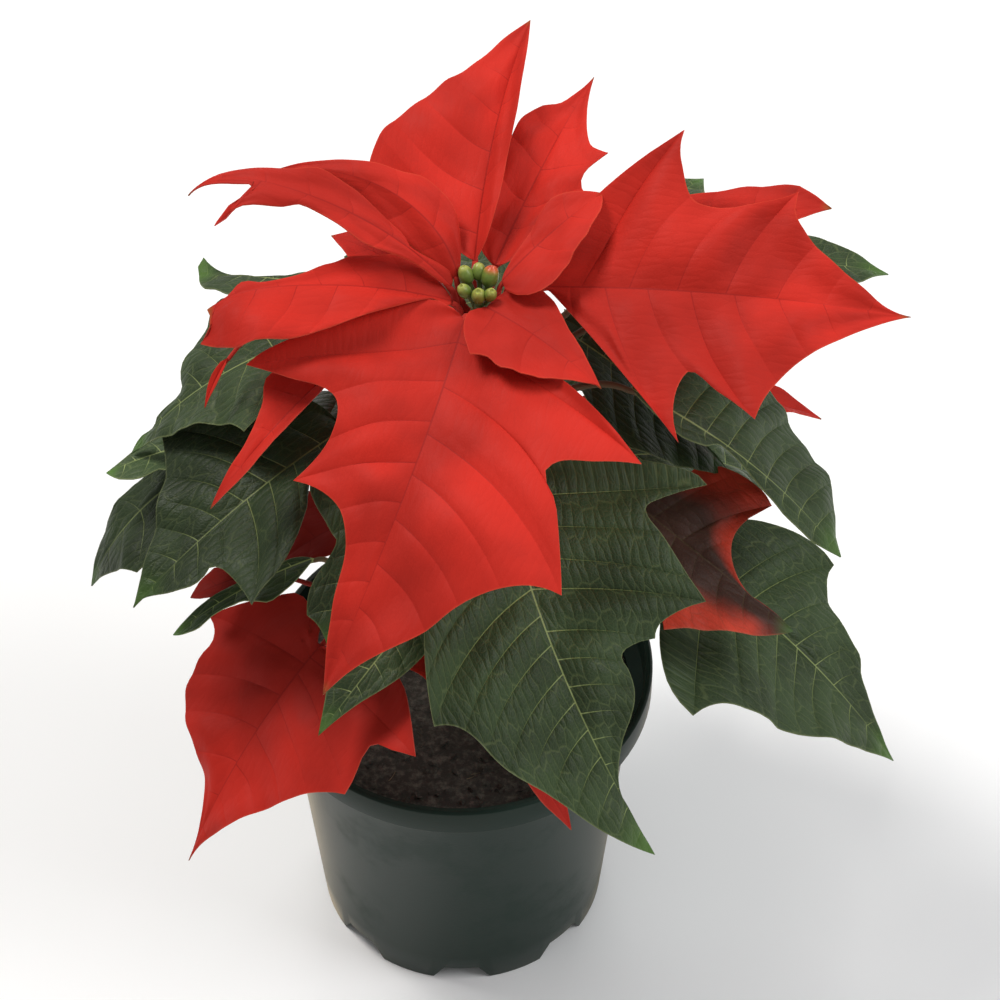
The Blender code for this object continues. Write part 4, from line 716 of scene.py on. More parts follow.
def blade_mesh(shape):
    """Points, faces and point marks of a blade with its veins, folds and margin."""
    rows, beside = row_feet(shape.halves, shape.length)
    count, last = len(rows), COLUMNS - 1
    index = np.zeros((2, count, COLUMNS), int)
    along, out, lift, depth = [], [], [], []
    marks = {name: [] for name in ("vein", "edge", "along", "across")}
    cloth = []
    for side, half in enumerate(shape.halves):
        points, shares, spread, lengths, vein = shape.half_points(half, rows, beside)
        height, groove = shape.relief(half, shares, spread, lengths, vein, shape.wave[side],
                                      shape.swell[side])
        for row in range(count):
            for column in range(COLUMNS):
                collapsed = row in (0, count - 1) and column > 0
                if collapsed or (side == 1 and column == 0):
                    index[side, row, column] = index[0, row, 0]
                    continue
                index[side, row, column] = len(along)
                along.append(points[row, column, 0])
                out.append(points[row, column, 1] if column else 0.0)
                lift.append(height[row, column])
                depth.append(groove[row, column])
                span = lengths[row] * shape.length
                marks["vein"].append(groove[row, column])
                marks["edge"].append(1.0 if column == last else 0.0)
                marks["along"].append(spread[row, column])
                marks["across"].append(shares[row, column])
                cloth.append((half.sign * shares[row, column] * span / 10,
                              spread[row, column] * shape.length / 10))
    along, out, lift, depth = (np.array(values) for values in (along, out, lift, depth))
    edge = np.array(marks["edge"])
    thick = shape.look.thickness * (1 - edge) + MARGIN_THICKNESS * edge
    keel = np.where(out == 0, KEEL_DEPTH * np.clip(1 - along, 0, 1) ** 1.3, 0.0)
    top = surface(shape.blade, shape.spine, along, out, lift + thick / 2 - shape.look.vein * depth)
    bottom = surface(shape.blade, shape.spine, along, out,
                     lift - thick / 2 - keel - 1.3 * shape.look.vein * depth)
    upper = []
    for side in (0, 1):
        for row in range(count - 1):
            for column in range(last):
                ring = [index[side, row, column], index[side, row + 1, column],
                        index[side, row + 1, column + 1], index[side, row, column + 1]]
                if side == 0:
                    ring.reverse()
                face = tuple(dict.fromkeys(ring))
                if len(face) > 2:
                    upper.append(face)
    total = len(along)
    faces = list(upper) + [tuple(corner + total for corner in reversed(face)) for face in upper]
    border = list(index[0, :, last]) + list(index[1, 1:-1, last][::-1])
    for here, there in zip(border, border[1:] + border[:1]):
        faces.append((here, here + total, there + total, there))
    values = {name: np.tile(np.array(items), 2) for name, items in marks.items()}
    values["under"] = np.repeat((0.0, 1.0), total)
    values["stalk"] = np.zeros(2 * total)
    return np.vstack([top, bottom]), faces, values, np.tile(np.array(cloth), (2, 1))


def tube(path, radii, sides):
    """Points and faces of a closed tube along a path."""
    path = np.asarray(path, float)
    heading = np.gradient(path, axis=0)
    heading /= np.linalg.norm(heading, axis=1, keepdims=True)
    side = np.cross(heading[0], (0.0, 0.0, 1.0) if abs(heading[0][2]) < 0.9 else (1.0, 0.0, 0.0))
    angles = 2 * np.pi * np.arange(sides) / sides
    points = []
    for place, along, radius in zip(path, heading, radii):
        side = unit(side - along * np.dot(side, along))
        up = np.cross(along, side)
        points.append(place + radius * (np.cos(angles)[:, None] * side + np.sin(angles)[:, None] * up))
    faces = []
    for ring in range(len(path) - 1):
        for step in range(sides):
            after = (step + 1) % sides
            near, far = ring * sides, (ring + 1) * sides
            faces.append((near + step, near + after, far + after, far + step))
    end = (len(path) - 1) * sides
    faces.append(tuple(reversed(range(sides))))
    faces.append(tuple(range(end, end + sides)))
    return np.vstack(points), faces


def shoot_at(name, height):
    """Axis point, radius and heading of a shoot at a height."""
    points, radii = SHOOTS[name]
    points = np.array(points, float)
    below, place, above = (
        np.array([np.interp(level, points[:, 2], points[:, axis]) for axis in range(3)])
        for level in (height - 2, height, height + 2))
    return place, np.interp(height, points[:, 2], radii), unit(above - below)


def stalk_mesh(shape):
    """Points and faces of the leaf stalk, from inside its shoot's bark to the keel under the blade."""
    blade, spine = shape.blade, shape.spine
    axis_point, shoot_radius, shoot_heading = shoot_at(blade.shoot, blade.joint)
    base = np.array(blade.base, float)
    level = (base - axis_point) * (1, 1, 0)
    outward = unit(level - shoot_heading * np.dot(level, shoot_heading))
    thick = min(STALK_THICKEST, STALK_THINNEST + STALK_GROWTH * spine.length)
    thin = STALK_TAPER * thick
    start = axis_point + outward * (shoot_radius - STALK_IN_BARK)
    span = np.linalg.norm(base - start)
    leave = start + outward * span * STALK_PULL
    foot = base - spine.normals[0] * STALK_DROP
    arrive = foot - spine.along[0] * span * STALK_PULL
    path, radii = [], []
    for share in np.arange(STALK_STEPS + 1) / STALK_STEPS:
        rest = 1 - share
        path.append(rest ** 3 * start + 3 * rest ** 2 * share * leave + 3 * rest * share ** 2 * arrive
                    + share ** 3 * foot)
        swell = STALK_SWELLING * math.exp(-share * span / STALK_SWELLING_LENGTH)
        radii.append((thick + (thin - thick) * share) * (1 + swell))
    for share in (0.25, 0.5, 0.75, 1.0):
        sink = np.float64(-STALK_DROP * (1 - 0.1 * share))
        path.append(surface(blade, spine, STALK_SINK * share, 0.0, sink))
        radii.append(thin * (1 - 0.65 * share))
    return tube(path, radii, STALK_SIDES)


# Painted light and shade: brightness of single blades, where it differs from the rest
PAINTED_LIGHT_TONES = {
    "leaf_front": 1.08, "leaf_right_low": 1.08, "leaf_far_left": 0.60, "leaf_left": 0.66,
    "leaf_left_small": 1.3, "leaf_left_bright": 1.6, "leaf_dark_middle": 0.7, "leaf_dark_left": 0.75,
    "leaf_front_hanging": 0.9, "bract_dark_left": 0.5, "bract_dark_left_low": 0.5, "bract_low_left": 0.88,
}

Look = namedtuple("Look", "tone quilt fold wave swell vein thickness")


def blade_looks(blade, settings):
    """Relief and painted light-and-shade tone of one blade, small ones with shallower folds."""
    small = np.clip(Spine(blade).length / SMALL_BLADE, SHALLOWEST, 1.0)
    tone = PAINTED_LIGHT_TONES.get(blade.name, 1.0)
    groove = BRACT_GROOVE if blade.kind == RED else 1.0
    soft = BRACT_SWELL if blade.kind == RED else 1.0
    return Look(tone, settings.quilting / MM * small, settings.fold_depth / MM * small,
                settings.margin_wave / MM * small, settings.swell / MM * small * soft,
                settings.vein_depth / MM * groove * (0.5 + 0.5 * small), settings.thickness / MM)


def mesh_piece(name, points, faces, material, smooth_angle=None):
    """A mesh object at the origin from points in millimetres."""
    mesh = bpy.data.meshes.new(name)
    mesh.from_pydata((np.asarray(points, float) * MM).tolist(), [],
                     [tuple(int(corner) for corner in face) for face in faces])
    mesh.materials.append(material)
    mesh.shade_smooth()
    if smooth_angle is not None:
        mesh.set_sharp_from_angle(angle=math.radians(smooth_angle))
    piece = bpy.data.objects.new(name, mesh)
    bpy.context.scene.collection.objects.link(piece)
    return piece


def add_point_values(piece, values):
    """Store named numbers on the piece's points, for its material to read."""
    for name, numbers in values.items():
        attribute = piece.data.attributes.new(name, "FLOAT", "POINT")
        attribute.data.foreach_set("value", np.asarray(numbers, np.float32))


def add_vein_map(piece, places):
    """A UV map in centimetres that runs along the side veins and along the midrib."""
    layer = piece.data.uv_layers.new(name="vein_map")
    corners = np.zeros(len(piece.data.loops), int)
    piece.data.loops.foreach_get("vertex_index", corners)
    layer.data.foreach_set("uv", np.asarray(places, np.float32)[corners].ravel())


def build_blade(blade, settings, material):
    """One leaf or bract with its stalk."""
    shape = BladeShape(blade, blade_looks(blade, settings))
    points, faces, values, places = blade_mesh(shape)
    stalk_points, stalk_faces = stalk_mesh(shape)
    total = len(points)
    extra = len(stalk_points)
    faces += [tuple(corner + total for corner in face) for face in stalk_faces]
    for name in values:
        values[name] = np.concatenate([values[name], np.full(extra, 1.0 if name == "stalk" else 0.0)])
    # tone: each blade's painted light and shade, as a brightness factor
    values["tone"] = np.full(total + extra, shape.look.tone)
    places = np.vstack([places, np.stack([np.zeros(extra), stalk_points[:, 2] / 10], axis=-1)])
    piece = mesh_piece("dressed_" + blade.name, np.vstack([points, stalk_points]), faces, material, 60)
    add_point_values(piece, values)
    add_vein_map(piece, places)
    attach(piece, ROOT)
    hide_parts(blade.name)
    return piece


# Materials

def add_node(tree, kind, settings=None, values=None):
    """A node with its settings, and a value or a link for each socket that is named or numbered."""
    node = tree.nodes.new(kind)
    for name, value in (settings or {}).items():
        setattr(node, name, value)
    for name, value in (values or {}).items():
        socket = node.inputs[name]
        if isinstance(value, bpy.types.NodeSocket):
            tree.links.new(value, socket)
        else:
            socket.default_value = value
    return node


def blend(tree, share, first, second, way="MIX"):
    """A colour between two colours."""
    node = add_node(tree, "ShaderNodeMix", {"data_type": "RGBA", "blend_type": way},
                    {0: share, 6: first, 7: second})
    return node.outputs[2]


def compute(tree, operation, first, second=0.0, third=0.0):
    """A number from two or three numbers."""
    node = add_node(tree, "ShaderNodeMath", {"operation": operation}, {0: first, 1: second, 2: third})
    return node.outputs[0]


def ramp(tree, value, low, high, start=0.0, end=1.0):
    """A soft step of a number."""
    node = add_node(tree, "ShaderNodeMapRange", {"interpolation_type": "SMOOTHSTEP"},
                    {"Value": value, "From Min": low, "From Max": high, "To Min": start, "To Max": end})
    return node.outputs[0]


def scaled(tree, vector, factor):
    """A vector or colour times a number."""
    return add_node(tree, "ShaderNodeVectorMath", {"operation": "SCALE"},
                    {0: vector, "Scale": factor}).outputs[0]


def add_bump(tree, shader, strength, distance, height):
    """Fine relief from a height, with its depth in metres."""
    bump = add_node(tree, "ShaderNodeBump", None,
                    {"Strength": strength, "Distance": distance, "Height": height})
    tree.links.new(bump.outputs["Normal"], shader.inputs["Normal"])


def point_value(tree, name):
    """A number that the mesh keeps on its points."""
    return add_node(tree, "ShaderNodeAttribute", {"attribute_name": name}).outputs["Fac"]


def object_noise(tree, scale, detail=3.0, roughness=0.5):
    """Noise fixed to the object, as a number."""
    place = add_node(tree, "ShaderNodeTexCoord").outputs["Object"]
    node = add_node(tree, "ShaderNodeTexNoise", None,
                    {"Vector": place, "Scale": scale, "Detail": detail, "Roughness": roughness})
    return node.outputs["Fac"]


def new_group(name, inputs, outputs):
    """A shader node group with named inputs and outputs, and its two end nodes."""
    group = bpy.data.node_groups.new(name, "ShaderNodeTree")
    for label, kind, value in inputs:
        socket = group.interface.new_socket(label, in_out="INPUT", socket_type=kind)
        socket.default_value = value
    for label, kind in outputs:
        group.interface.new_socket(label, in_out="OUTPUT", socket_type=kind)
    return group, group.nodes.new("NodeGroupInput").outputs, group.nodes.new("NodeGroupOutput").inputs


COLOUR = "NodeSocketColor"
NUMBER = "NodeSocketFloat"


def leaf_network_group():
    """The net of fine veins between the side veins: line masks and a height."""
    name = "leaf_network"
    if name in bpy.data.node_groups:
        return bpy.data.node_groups[name]
    group, given, result = new_group(
        name,
        (("Ladder Width", NUMBER, 3.2), ("Ladder Length", NUMBER, 1.1), ("Irregularity", NUMBER, 0.12)),
        (("Ladder", NUMBER), ("Mesh", NUMBER), ("Height", NUMBER)))
    uv = add_node(group, "ShaderNodeUVMap", {"uv_map": "vein_map"}).outputs["UV"]
    jitter = add_node(group, "ShaderNodeTexNoise", {"noise_dimensions": "2D"},
                      {"Vector": uv, "Scale": 2.4, "Detail": 2.0}).outputs["Color"]
    centred = add_node(group, "ShaderNodeVectorMath", {"operation": "SUBTRACT"},
                       {0: jitter, 1: (0.5, 0.5, 0.5)}).outputs[0]
    shift = scaled(group, centred, given["Irregularity"])
    moved = add_node(group, "ShaderNodeVectorMath", {"operation": "ADD"}, {0: uv, 1: shift}).outputs[0]
    scales = add_node(group, "ShaderNodeCombineXYZ", None,
                      {"X": given["Ladder Width"], "Y": given["Ladder Length"], "Z": 1.0}).outputs[0]
    ladder_place = add_node(group, "ShaderNodeVectorMath", {"operation": "MULTIPLY"},
                            {0: moved, 1: scales}).outputs[0]
    cells = {"feature": "DISTANCE_TO_EDGE", "voronoi_dimensions": "2D"}
    ladder = add_node(group, "ShaderNodeTexVoronoi", cells,
                      {"Vector": ladder_place, "Scale": 1.0, "Randomness": 0.85}).outputs["Distance"]
    mesh = add_node(group, "ShaderNodeTexVoronoi", cells,
                    {"Vector": moved, "Scale": 8.0, "Randomness": 0.95}).outputs["Distance"]
    ladder_line = ramp(group, ladder, 0.01, 0.07, 1.0, 0.0)
    mesh_line = ramp(group, mesh, 0.02, 0.12, 1.0, 0.0)
    group.links.new(ladder_line, result["Ladder"])
    group.links.new(mesh_line, result["Mesh"])
    rise = compute(group, "SQRT", ramp(group, ladder, 0.0, 0.42))
    small_rise = ramp(group, mesh, 0.0, 0.30)
    group.links.new(compute(group, "MULTIPLY_ADD", small_rise, 0.22, rise), result["Height"])
    return group


def leaf_colour_group():
    """Colour of a blade from its veins, margin, tip, underside and stalk, with random darker patches that
    are painted fold shade on the bracts, scaled by each blade's painted light-and-shade tone.
    """
    name = "leaf_colour"
    if name in bpy.data.node_groups:
        return bpy.data.node_groups[name]
    group, given, result = new_group(
        name,
        (("Blade", COLOUR, (0.1, 0.1, 0.1, 1)), ("Vein", COLOUR, (0.1, 0.1, 0.1, 1)),
         ("Margin", COLOUR, (0.1, 0.1, 0.1, 1)), ("Tip", COLOUR, (0.1, 0.1, 0.1, 1)),
         ("Underside", COLOUR, (0.1, 0.1, 0.1, 1)), ("Stalk", COLOUR, (0.1, 0.1, 0.1, 1)),
         ("Vein Strength", NUMBER, 1.0), ("Ladder Strength", NUMBER, 0.3), ("Mesh Strength", NUMBER, 0.1),
         ("Mottle", NUMBER, 0.2), ("Tip Start", NUMBER, 0.9), ("Margin Strength", NUMBER, 0.6),
         ("Vein Fade", NUMBER, 0.0), ("Mottle Scale", NUMBER, 55.0),
         ("Ladder", NUMBER, 0.0), ("Mesh", NUMBER, 0.0)),
        (("Color", COLOUR), ("Vein Mask", NUMBER)))
    # Darker random patches: colour variation on the leaves, and painted shade of broad folds on the bracts
    mottle_and_shade = ramp(group, object_noise(group, given["Mottle Scale"], 3.0, 0.5), 0.35, 0.65)
    dark = scaled(group, given["Blade"], compute(group, "SUBTRACT", 1.0, given["Mottle"]))
    colour = blend(group, mottle_and_shade, dark, given["Blade"])
    colour = blend(group, ramp(group, point_value(group, "under"), 0.45, 0.55), colour, given["Underside"])
    main = ramp(group, point_value(group, "vein"), 0.1, 0.6)
    main = compute(group, "MULTIPLY", main, given["Vein Strength"])
    fading = compute(group, "MULTIPLY", point_value(group, "across"), given["Vein Fade"])
    main = compute(group, "MULTIPLY", main, compute(group, "SUBTRACT", 1.0, fading))
    ladder = compute(group, "MULTIPLY", given["Ladder"], given["Ladder Strength"])
    fine = compute(group, "MULTIPLY", given["Mesh"], given["Mesh Strength"])
    mask = compute(group, "MAXIMUM", main, compute(group, "MAXIMUM", ladder, fine))
    mask = compute(group, "MINIMUM", mask, 1.0)
    colour = blend(group, mask, colour, given["Vein"])
    edge = ramp(group, point_value(group, "edge"), 0.2, 1.0)
    edge = compute(group, "MULTIPLY", edge, given["Margin Strength"])
    colour = blend(group, edge, colour, given["Margin"])
    tip = ramp(group, point_value(group, "along"), given["Tip Start"], 1.0)
    colour = blend(group, tip, colour, given["Tip"])
    colour = blend(group, point_value(group, "stalk"), colour, given["Stalk"])
    # Painted light and shade: the colour scaled by each blade's tone
    painted_light_colour = scaled(group, colour, point_value(group, "tone"))
    group.links.new(painted_light_colour, result["Color"])
    group.links.new(main, result["Vein Mask"])
    return group


def principled(material, **constants):
    """The material's own shader, with its constant sockets set."""
    shader = material.node_tree.nodes["Principled BSDF"]
    for name, value in constants.items():
        shader.inputs[name.replace("_", " ")].default_value = value
    return shader


def new_material(name, colour):
    """A named node material that shows its colour in the viewport too."""
    material = bpy.data.materials.new(name)
    material.use_nodes = True
    material.diffuse_color = tuple(colour)
    return material


def leaf_material(name, colours, strengths, gloss, blade_from=None):
    """The finish of a leaf or bract."""
    material = new_material(name, colours["Blade"])
    tree = material.node_tree
    shader = principled(material, Specular_IOR_Level=gloss["specular"], Sheen_Weight=gloss["sheen"],
                        Sheen_Roughness=0.5)
    network = add_node(tree, "ShaderNodeGroup", {"node_tree": leaf_network_group()})
    paint = add_node(tree, "ShaderNodeGroup", {"node_tree": leaf_colour_group()})
    for label, value in {**colours, **strengths}.items():
        paint.inputs[label].default_value = value
    tree.links.new(network.outputs["Ladder"], paint.inputs["Ladder"])
    tree.links.new(network.outputs["Mesh"], paint.inputs["Mesh"])
    if blade_from is not None:
        tree.links.new(blade_from(tree, colours), paint.inputs["Blade"])
    tree.links.new(paint.outputs["Color"], shader.inputs["Base Color"])
    rough = ramp(tree, object_noise(tree, 90.0), 0.3, 0.7, gloss["rough"] - 0.05, gloss["rough"] + 0.07)
    tree.links.new(rough, shader.inputs["Roughness"])
    add_bump(tree, shader, gloss["bump"], 0.0006, network.outputs["Height"])
    return material


def turning_blade_colour(tree, colours):
    """Red spreading over a dark green middle from the lobes."""
    across = point_value(tree, "across")
    along = point_value(tree, "along")
    patch = compute(tree, "MULTIPLY_ADD", object_noise(tree, 60.0, 3.0), 0.5, across)
    red = ramp(tree, patch, 0.60, 1.15)
    kept = compute(tree, "MULTIPLY", red, ramp(tree, along, 0.70, 0.92, 1.0, 0.0))
    return blend(tree, kept, colours["Blade"], (0.62, 0.052, 0.024, 1.0))


def bract_finish(settings):
    """Saturated red with darker red veins."""
    colours = {"Blade": settings.bract, "Vein": settings.bract_vein, "Margin": (0.62, 0.07, 0.03, 1.0),
               "Tip": (0.30, 0.075, 0.02, 1.0), "Underside": (0.62, 0.075, 0.06, 1.0),
               "Stalk": (0.45, 0.03, 0.02, 1.0)}
    # The darker random patches here are painted shade of the broad folds
    strengths = {"Vein Strength": 0.5, "Ladder Strength": 0.05, "Mesh Strength": 0.02, "Mottle": 0.30,
                 "Tip Start": 0.95, "Margin Strength": 0.4, "Vein Fade": 0.7, "Mottle Scale": 26.0}
    return leaf_material("bract_red_finish", colours, strengths,
                         {"specular": 0.12, "sheen": 0.02, "rough": 0.62, "bump": 0.13})


def leaf_finish(settings):
    """Dark grey-green with yellow-green veins and a thin pale margin."""
    colours = {"Blade": settings.leaf, "Vein": settings.leaf_vein, "Margin": (0.16, 0.19, 0.075, 1.0),
               "Tip": (0.075, 0.15, 0.030, 1.0), "Underside": (0.10, 0.15, 0.085, 1.0),
               "Stalk": (0.10, 0.065, 0.032, 1.0)}
    strengths = {"Vein Strength": 1.0, "Ladder Strength": 0.16, "Mesh Strength": 0.06,
                 "Vein Fade": 0.1, "Mottle": 0.35, "Tip Start": 0.80, "Margin Strength": 0.7}
    return leaf_material("leaf_green_finish", colours, strengths,
                         {"specular": 0.2, "sheen": 0.02, "rough": 0.5, "bump": 0.42})


def turning_finish(settings):
    """Dark green middle with red lobes and a green tip."""
    colours = {"Blade": (0.062, 0.026, 0.017, 1.0), "Vein": (0.07, 0.045, 0.02, 1.0),
               "Margin": (0.42, 0.10, 0.05, 1.0), "Tip": (0.06, 0.11, 0.03, 1.0),
               "Underside": (0.16, 0.06, 0.04, 1.0), "Stalk": (0.28, 0.05, 0.03, 1.0)}
    strengths = {"Vein Strength": 0.7, "Ladder Strength": 0.18, "Mesh Strength": 0.06, "Mottle": 0.3,
                 "Tip Start": 0.85, "Margin Strength": 0.5}
    return leaf_material("bract_turning_finish", colours, strengths,
                         {"specular": 0.2, "sheen": 0.02, "rough": 0.55, "bump": 0.3}, turning_blade_colour)


def pot_finish(settings):
    """Moulded dark grey-green plastic, satin, with faint scuffs and a warm sheen that paints the reflection
    of beige surroundings.
    """
    material = new_material("pot_plastic_finish", settings.pot)
    tree = material.node_tree
    # Painted reflection: the warm sheen and specular tints stand in for beige surroundings seen at the pot's
    # edges
    shader = principled(material, Specular_IOR_Level=0.15, Specular_Tint=(1.0, 0.93, 0.8, 1.0),
                        Sheen_Weight=0.26, Sheen_Roughness=0.2, Sheen_Tint=(1.0, 0.80, 0.50, 1.0))
    scuff = ramp(tree, object_noise(tree, 24.0, 6.0, 0.65), 0.45, 0.75)
    lighter = tuple(min(1.0, value * 1.5 + 0.008) for value in settings.pot[:3]) + (1.0,)
    tree.links.new(blend(tree, compute(tree, "MULTIPLY", scuff, 0.35), settings.pot, lighter),
                   shader.inputs["Base Color"])
    tree.links.new(ramp(tree, scuff, 0.0, 1.0, 0.36, 0.5), shader.inputs["Roughness"])
    add_bump(tree, shader, 0.12, 0.0002, object_noise(tree, 1400.0, 2.0))
    return material


def soil_finish(settings):
    """Moist dark peat."""
    material = new_material("soil_peat_finish", settings.soil)
    tree = material.node_tree
    shader = principled(material, Specular_IOR_Level=0.2)
    light = tuple(min(1.0, value * 3.2) for value in settings.soil[:3]) + (1.0,)
    grains = ramp(tree, object_noise(tree, 420.0, 6.0, 0.7), 0.42, 0.72)
    tree.links.new(blend(tree, grains, settings.soil, light), shader.inputs["Base Color"])
    tree.links.new(ramp(tree, grains, 0.0, 1.0, 0.8, 0.98), shader.inputs["Roughness"])
    add_bump(tree, shader, 0.8, 0.0008, object_noise(tree, 700.0, 5.0, 0.7))
    return material


def bark_finish(settings):
    """Green-brown stem with paler cork spots."""
    material = new_material("stem_bark_finish", settings.stem)
    tree = material.node_tree
    shader = principled(material, Specular_IOR_Level=0.25)
    brown = (0.13, 0.085, 0.045, 1.0)
    patches = ramp(tree, object_noise(tree, 70.0, 5.0, 0.6), 0.4, 0.65)
    spots = ramp(tree, object_noise(tree, 620.0, 2.0), 0.62, 0.72)
    colour = blend(tree, patches, settings.stem, brown)
    colour = blend(tree, compute(tree, "MULTIPLY", spots, 0.5), colour, (0.36, 0.31, 0.2, 1.0))
    tree.links.new(colour, shader.inputs["Base Color"])
    tree.links.new(ramp(tree, patches, 0.0, 1.0, 0.55, 0.8), shader.inputs["Roughness"])
    add_bump(tree, shader, 0.5, 0.0004, object_noise(tree, 480.0, 4.0))
    return material


def bud_finish(settings):
    """Waxy green buds, darker towards the foot as painted shade, yellower towards the top, one of them with
    a red mouth.
    """
    material = new_material("bud_green_finish", settings.bud)
    tree = material.node_tree
    shader = principled(material, Specular_IOR_Level=0.45)
    # Painted shade: each bud darker towards its foot, down in the cluster
    dark = tuple(value * 0.45 for value in settings.bud[:3]) + (1.0,)
    colour = blend(tree, ramp(tree, point_value(tree, "height"), 0.0, 0.75), dark, settings.bud)
    colour = blend(tree, ramp(tree, point_value(tree, "height"), 0.70, 1.0), colour, (0.40, 0.42, 0.09, 1.0))
    colour = blend(tree, point_value(tree, "blush"), colour, (0.60, 0.09, 0.03, 1.0))
    spots = ramp(tree, object_noise(tree, 900.0, 2.0), 0.35, 0.65, 0.82, 1.0)
    tree.links.new(scaled(tree, colour, spots), shader.inputs["Base Color"])
    tree.links.new(ramp(tree, object_noise(tree, 500.0), 0.3, 0.7, 0.3, 0.45), shader.inputs["Roughness"])
    add_bump(tree, shader, 0.3, 0.0002, object_noise(tree, 1500.0, 2.0))
    return material


def fibre_finish(settings):
    """Dry pale root and bark fibres."""
    material = new_material("soil_fibre_finish", (0.2, 0.14, 0.08, 1.0))
    tree = material.node_tree
    shader = principled(material, Specular_IOR_Level=0.2)
    shade = ramp(tree, object_noise(tree, 90.0), 0.3, 0.7)
    tree.links.new(blend(tree, shade, (0.06, 0.04, 0.025, 1.0), (0.30, 0.24, 0.16, 1.0)),
                   shader.inputs["Base Color"])
    tree.links.new(ramp(tree, shade, 0.0, 1.0, 0.7, 0.95), shader.inputs["Roughness"])
    return material


def floor_finish():
    """A plain pale floor."""
    material = new_material("floor_finish", (0.9, 0.9, 0.9, 1.0))
    principled(material, Base_Color=(0.93, 0.93, 0.93, 1.0), Roughness=0.8, Specular_IOR_Level=0.2)
    return material


# Modelling with Blender's own tools

def deselect_all():
    """Leave nothing selected and nothing in edit mode."""
    if bpy.context.mode != "OBJECT":
        bpy.ops.object.mode_set(mode="OBJECT")
    bpy.ops.object.select_all(action="DESELECT")


def pick(piece):
    """Select one piece alone and make it the active one."""
    deselect_all()
    piece.select_set(True)
    bpy.context.view_layer.objects.active = piece


def turned_body(name, profile, sides):
    """A ring face extruded along a profile of radii and heights in millimetres, closed at both ends."""
    deselect_all()
    radius, height = profile[0]
    bpy.ops.mesh.primitive_circle_add(vertices=sides, radius=radius * MM, fill_type="NGON",
                                      location=(0, 0, height * MM))
    piece = bpy.context.object
    piece.name = name
    piece.data.name = name
    bpy.ops.object.transform_apply(location=True, rotation=True, scale=True)
    bpy.ops.object.mode_set(mode="EDIT")
    bpy.ops.mesh.select_all(action="SELECT")
    for next_radius, next_height in profile[1:]:
        bpy.ops.mesh.extrude_region_move(
            TRANSFORM_OT_translate={"value": (0, 0, (next_height - height) * MM)})
        grow = next_radius / radius
        bpy.ops.transform.resize(value=(grow, grow, 1), center_override=(0, 0, next_height * MM))
        radius, height = next_radius, next_height
    bpy.ops.mesh.select_all(action="SELECT")
    bpy.ops.mesh.normals_make_consistent(inside=False)
    bpy.ops.object.mode_set(mode="OBJECT")
    return piece


def apply_modifier(piece, kind, **settings):
    """Add a modifier to a piece and apply it."""
    pick(piece)
    modifier = piece.modifiers.new(kind.lower(), kind)
    for name, value in settings.items():
        setattr(modifier, name, value)
    bpy.ops.object.modifier_apply(modifier=modifier.name)


def join(pieces):
    """Join pieces into the first of them."""
    deselect_all()
    for piece in pieces:
        piece.select_set(True)
    bpy.context.view_layer.objects.active = pieces[0]
    bpy.ops.object.join()
    return bpy.context.object


def notch_cutter(turn):
    """A wedge across the foot ring, wider at the bottom."""
    deselect_all()
    bpy.ops.mesh.primitive_cube_add(size=1.0)
    cutter = bpy.context.object
    reach = PotShape.foot_radius
    for corner in cutter.data.vertices:
        width = NOTCH_WIDTH_TOP if corner.co.z > 0 else NOTCH_WIDTH_BOTTOM
        height = NOTCH_HEIGHT if corner.co.z > 0 else -1.0
        corner.co = Vector((reach + corner.co.x * 6 * WALL, corner.co.y * width, height)) * MM
    cutter.rotation_euler = (0, 0, turn)
    bpy.ops.object.transform_apply(location=True, rotation=True, scale=True)
    return cutter


def drain_cutter(turn):
    """A round pin through the pot's floor."""
    deselect_all()
    place = (math.cos(turn) * DRAIN_CIRCLE_RADIUS * MM, math.sin(turn) * DRAIN_CIRCLE_RADIUS * MM,
             (FLOOR_HEIGHT + 1) * MM)
    bpy.ops.mesh.primitive_cylinder_add(vertices=DRAIN_HOLE_SIDES, radius=DRAIN_HOLE_RADIUS * MM,
                                        depth=6 * MM, location=place)
    bpy.ops.object.transform_apply(location=True, rotation=True, scale=True)
    return bpy.context.object


class PotShape:
    """Sizes of the pot that several pieces share, in millimetres."""

    foot_radius = 50.0
    rim_radius = 65.0
    height = 115.0

    @classmethod
    def wall_radius(cls, height):
        """Outer radius of the tapered body at a height."""
        share = height / (cls.height - RIM_BAND_HEIGHT)
        return cls.foot_radius + (BODY_TOP_RADIUS - cls.foot_radius) * share


